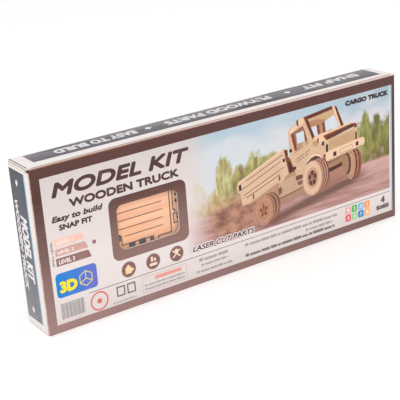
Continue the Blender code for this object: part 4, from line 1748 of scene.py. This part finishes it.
@dataclass
class Boards:
    """The four plywood boards, their press-out parts, the marks on the first one and the leaflet."""

    rim_width: float = 0.3
    planks: tuple[tuple[float, float, float], ...] = (
        (-92.0, -54.2, 63.8), (-92.0, -54.2, 58.5), (-92.0, -54.2, 53.1), (-82.7, -54.2, 47.8),
    )
    # Notches in the first board, each painted near-black as the shadow that shows through an open slot: left,
    # low, right and high.
    notch_shadows: tuple[tuple[float, float, float, float], ...] = (
        (-88.8, 45.4, -85.6, 49.8),
        (-80.2, 39.6, -76.0, 42.8),
        (-73.0, 39.0, -67.8, 43.0),
        (-64.8, 39.4, -61.8, 42.8),
    )

    def dress_nodes(self) -> None:
        """Plywood on every board and part, paper on the leaflet."""
        wood = PlywoodFinish().material()
        for item in frame["nodes"].values():
            if item["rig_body"].endswith("_sheet"):
                dress(item, wood)
        dress(frame["nodes"]["assembly_leaflet"], LeafletFinish().material())

    def build_marks(self, finish: bpy.types.Material) -> bpy.types.Object:
        """Scorched rims round the cuts, the burnt plank lines of the first board, and the painted shadow in
        its notches.
        """
        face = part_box("bed_board")[0].y
        panel = Panel((0.0, face, 0.0), (1, 0, 0), (0, 0, 1), (0, -1, 0), "bed_sheet")
        sheet = InkSheet("scorch_and_shadow_marks", panel, slot="plywood", base=0.012, step=0.0, sunk=0.02)
        for left, right, up in self.planks:
            sheet.area(oblong(left, up - 0.30, right, up + 0.30, 0.25, 2), ink(128, 68, 34))
            sheet.area(oblong(left + 0.1, up - 0.18, right - 0.2, up + 0.18, 0.1, 2), ink(64, 30, 14))
        # Painted shadow: each notch filled near-black.
        for left, low, right, high in self.notch_shadows:
            sheet.area(oblong(left, low, right, high), ink(34, 20, 14))
        members = [n for n, item in frame["nodes"].items() if item["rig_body"] == "bed_sheet"]
        for name in sorted(members):
            for loop in front_loops(frame["nodes"][name]):
                self._rim(sheet, loop)
        return sheet.build(finish)

    def _rim(self, sheet: InkSheet, loop: Points) -> None:
        """A thin scorched ribbon just inside one outline.

        The inner line is each corner moved by the width over 1 + the dot product of its two normals,
        along their sum.

        Args:
            sheet: the sheet to print on.
            loop: the outline, with the material on its left.
        """
        ahead, behind = np.roll(loop, -1, axis=0), np.roll(loop, 1, axis=0)
        inward = []
        for first, second in ((behind, loop), (loop, ahead)):
            run = second - first
            run = run / np.linalg.norm(run, axis=1)[:, None]
            inward.append(np.column_stack([-run[:, 1], run[:, 0]]))
        share = 1.0 + np.einsum("ij,ij->i", *inward)
        inner = loop + (inward[0] + inward[1]) * (self.rim_width / np.maximum(share, 0.4))[:, None]
        height = sheet.height()
        size = len(loop)
        levels = ((loop, -sheet.sunk), (loop, height), (inner, height), (inner, -sheet.sunk))
        rows = [sheet.panel.place(flat, np.full(size, level)) for flat, level in levels]
        faces = grid_faces(4, size, True, True)[:, ::-1].tolist()
        sheet.add(np.vstack(rows), faces, ink(112, 60, 32))


def front_loops(item: bpy.types.Object) -> list[Points]:
    """Outlines of a flat node's front face, in millimetres, with the material on their left.

    They are the edges that only one front triangle uses, joined end to end.

    Args:
        item: the node.

    Returns:
        One array of corners for each closed outline.
    """
    mesh = item.data
    flat = np.round(read_vectors(mesh.vertices, "co")[:, [0, 2]] / MM, 4)
    edges = set()
    for polygon in mesh.polygons:
        if polygon.normal.y > -0.9:
            continue
        corners = [tuple(flat[v]) for v in polygon.vertices]
        for first, second in zip(corners, corners[1:] + corners[:1]):
            if (second, first) in edges:
                edges.remove((second, first))
            else:
                edges.add((first, second))
    following = dict(sorted(edges))
    loops = []
    while following:
        start = at = next(iter(following))
        loop = []
        while at in following:
            loop.append(at)
            at = following.pop(at)
        if at == start and len(loop) > 2:
            loops.append(np.array(loop))
    return loops


# ---------------------------------------------------------------- studio


@dataclass
class Studio:
    """The pale floor, the soft light and the camera."""

    lens: float = 98.74
    stand: tuple[float, float, float] = (-0.38149, -0.56818, 0.30598)
    aim: tuple[float, float, float] = (-0.01812, 0.0, 0.05139)
    roll: float = -4.214

    def build_floor(self) -> None:
        """A wide, gently clouded plate under the carton."""
        half = 4.0
        points = np.column_stack([oblong(-half, -half, half, half), np.zeros(4)])
        paint = Paint("studio_floor")
        clouds = paint.noise((0.8, 0.8, 0.8), 1.0)
        finish = paint.dress(
            Base_Color=paint.mix(clouds, ink(250, 250, 250), ink(246, 246, 246)),
            Roughness=0.9,
            Emission_Color=ink(255, 255, 255),
            Emission_Strength=0.14,
        )
        new_piece("studio_floor", points, [(0, 1, 2, 3)], [finish])

    def build_light(self) -> None:
        """White surroundings and two large soft lamps."""
        world = bpy.data.worlds.new("studio_light")
        world.use_nodes = True
        world.node_tree.nodes["Background"].inputs[0].default_value = (1.0, 1.0, 1.0, 1.0)
        world.node_tree.nodes["Background"].inputs[1].default_value = 0.82
        bpy.context.scene.world = world
        for name, at, power, size in (
            ("key_lamp", (-0.9, -1.1, 1.5), 12.0, 1.2),
            ("fill_lamp", (1.1, -1.3, 0.8), 4.0, 1.0),
        ):
            lamp = bpy.data.lights.new(name, "AREA")
            lamp.energy = power
            lamp.size = size
            item = bpy.data.objects.new(name, lamp)
            item.location = at
            item.rotation_euler = (Vector((0, 0, 0.05)) - Vector(at)).to_track_quat("-Z", "Y").to_euler()
            bpy.context.scene.collection.objects.link(item)

    def build_camera(self) -> None:
        """The camera: a long lens from the left, above and in front, rolled a little."""
        forward = (Vector(self.aim) - Vector(self.stand)).normalized()
        level = forward.cross(Vector((0, 0, 1))).normalized()
        rise = level.cross(forward)
        turn = math.radians(self.roll)
        right = level * math.cos(turn) + rise * math.sin(turn)
        up = rise * math.cos(turn) - level * math.sin(turn)
        camera = bpy.data.cameras.new("camera")
        camera.lens = self.lens
        camera.sensor_width = 36.0
        camera.clip_start = 0.01
        item = bpy.data.objects.new("camera", camera)
        axes = Matrix((right, up, -forward)).transposed()
        item.matrix_world = Matrix.Translation(self.stand) @ axes.to_4x4()
        bpy.context.scene.collection.objects.link(item)
        bpy.context.scene.camera = item
        bpy.context.scene.view_settings.view_transform = "Standard"


# ---------------------------------------------------------------- all of it


def corners(bounds: tuple[Vector, Vector]) -> list[list[float]]:
    """A box's two corners as plain lists."""
    return [[float(v) for v in corner] for corner in bounds]


def main() -> None:
    """Build the studio, the carton, its prints and the boards, in that order."""
    logging.basicConfig(level=logging.INFO, format="%(message)s")
    studio = Studio()
    studio.build_floor()
    studio.build_light()
    studio.build_camera()
    carton = Carton()
    for item in (carton.build_sleeve(), carton.build_lid(), *carton.build_folds()):
        LOG.info("built %s", item.name)
    carton.dress_card_nodes()
    boards = Boards()
    boards.dress_nodes()
    # One ink for the scorch marks and the painted notch shadows.
    LOG.info("built %s", boards.build_marks(InkCoat("scorch_and_shadow_ink", 0.3).material()).name)
    build_prints(carton)


def build_prints(carton: Carton) -> None:
    """Print every face of the carton.

    Args:
        carton: the carton to print on.
    """
    stretch = carton.top / (DRAWN_HEIGHT * MM)
    front = Panel((0, carton.low.y, 0), (1, 0, 0), (0, 0, stretch), (0, -1, 0), "carton")
    card_ink = InkCoat("card_ink").material()
    art = FrontPrint(front, carton.window(), stretch)
    picture = InkSheet("scenery_picture", front, base=0.016)
    picture.area(oblong(-41.5, 22.8, 136.6, 98.0), FIELD)
    # The field's ink carries painted shade, darker near the top and the foot.
    paper_ink_and_shade = InkCoat("paper_ink_and_shade", 0.06, 0.0, PAPER_PAINTED_SHADE)
    LOG.info("printed %s", art.field_print_and_shade().build(paper_ink_and_shade.material()).name)
    sheets = [art.title_print(), art.level_bars(), art.blue_label(), art.badges(), art.footer_print()]
    sheets.append(art.slogan())
    # The window frame's brown: print with a painted sheen that makes it paler towards its foot.
    frame_stops = ((0.34, ink(136, 104, 96)), (0.52, ink(124, 93, 88)), (0.69, ink(92, 58, 54)))
    frame_brown = BrownPrintWithSheen("frame_print_and_sheen", carton.top, frame_stops, 0.0, 0.0).material()
    LOG.info("printed %s", art.window_frame().build(frame_brown).name)
    half_depth = carton.back / MM
    left = Panel((-carton.half, 0, 0), (0, -1, 0), (0, 0, 1), (-1, 0, 0), "carton")
    right = Panel((carton.half, 0, 0), (0, 1, 0), (0, 0, 1), (1, 0, 0), "carton")
    top = carton.end_top / MM - 0.2
    sheets.append(EndPrint("left_end_print", left, half_depth, top).print_sheet())
    sheets.append(EndPrint("right_end_print", right, half_depth, top).print_sheet())
    lid = Panel((0, 0, carton.top), (1, 0, 0), (0, 1, 0), (0, 0, 1), "lid")
    near, far = (carton.tuck_low.y + carton.fold) / MM, (carton.back - carton.fold) / MM
    sheets.append(LidPrint(lid, carton.lid_high.x / MM, near, far).print_sheet())
    back = Panel((0, carton.back, 0), (-1, 0, 0), (0, 0, 1), (0, 1, 0), "carton")
    sheets.append(BackPrint(back).print_sheet())
    for sheet in sheets:
        LOG.info("printed %s", sheet.build(card_ink).name)
    LOG.info("printed %s", picture.build(SceneryFinish(stretch).material()).name)
    truck = TruckPicture(front).print_sheet()
    LOG.info("printed %s", truck.build(InkCoat("truck_ink", 0.12, 0.22).material()).name)


if __name__ == "__main__":
    main()
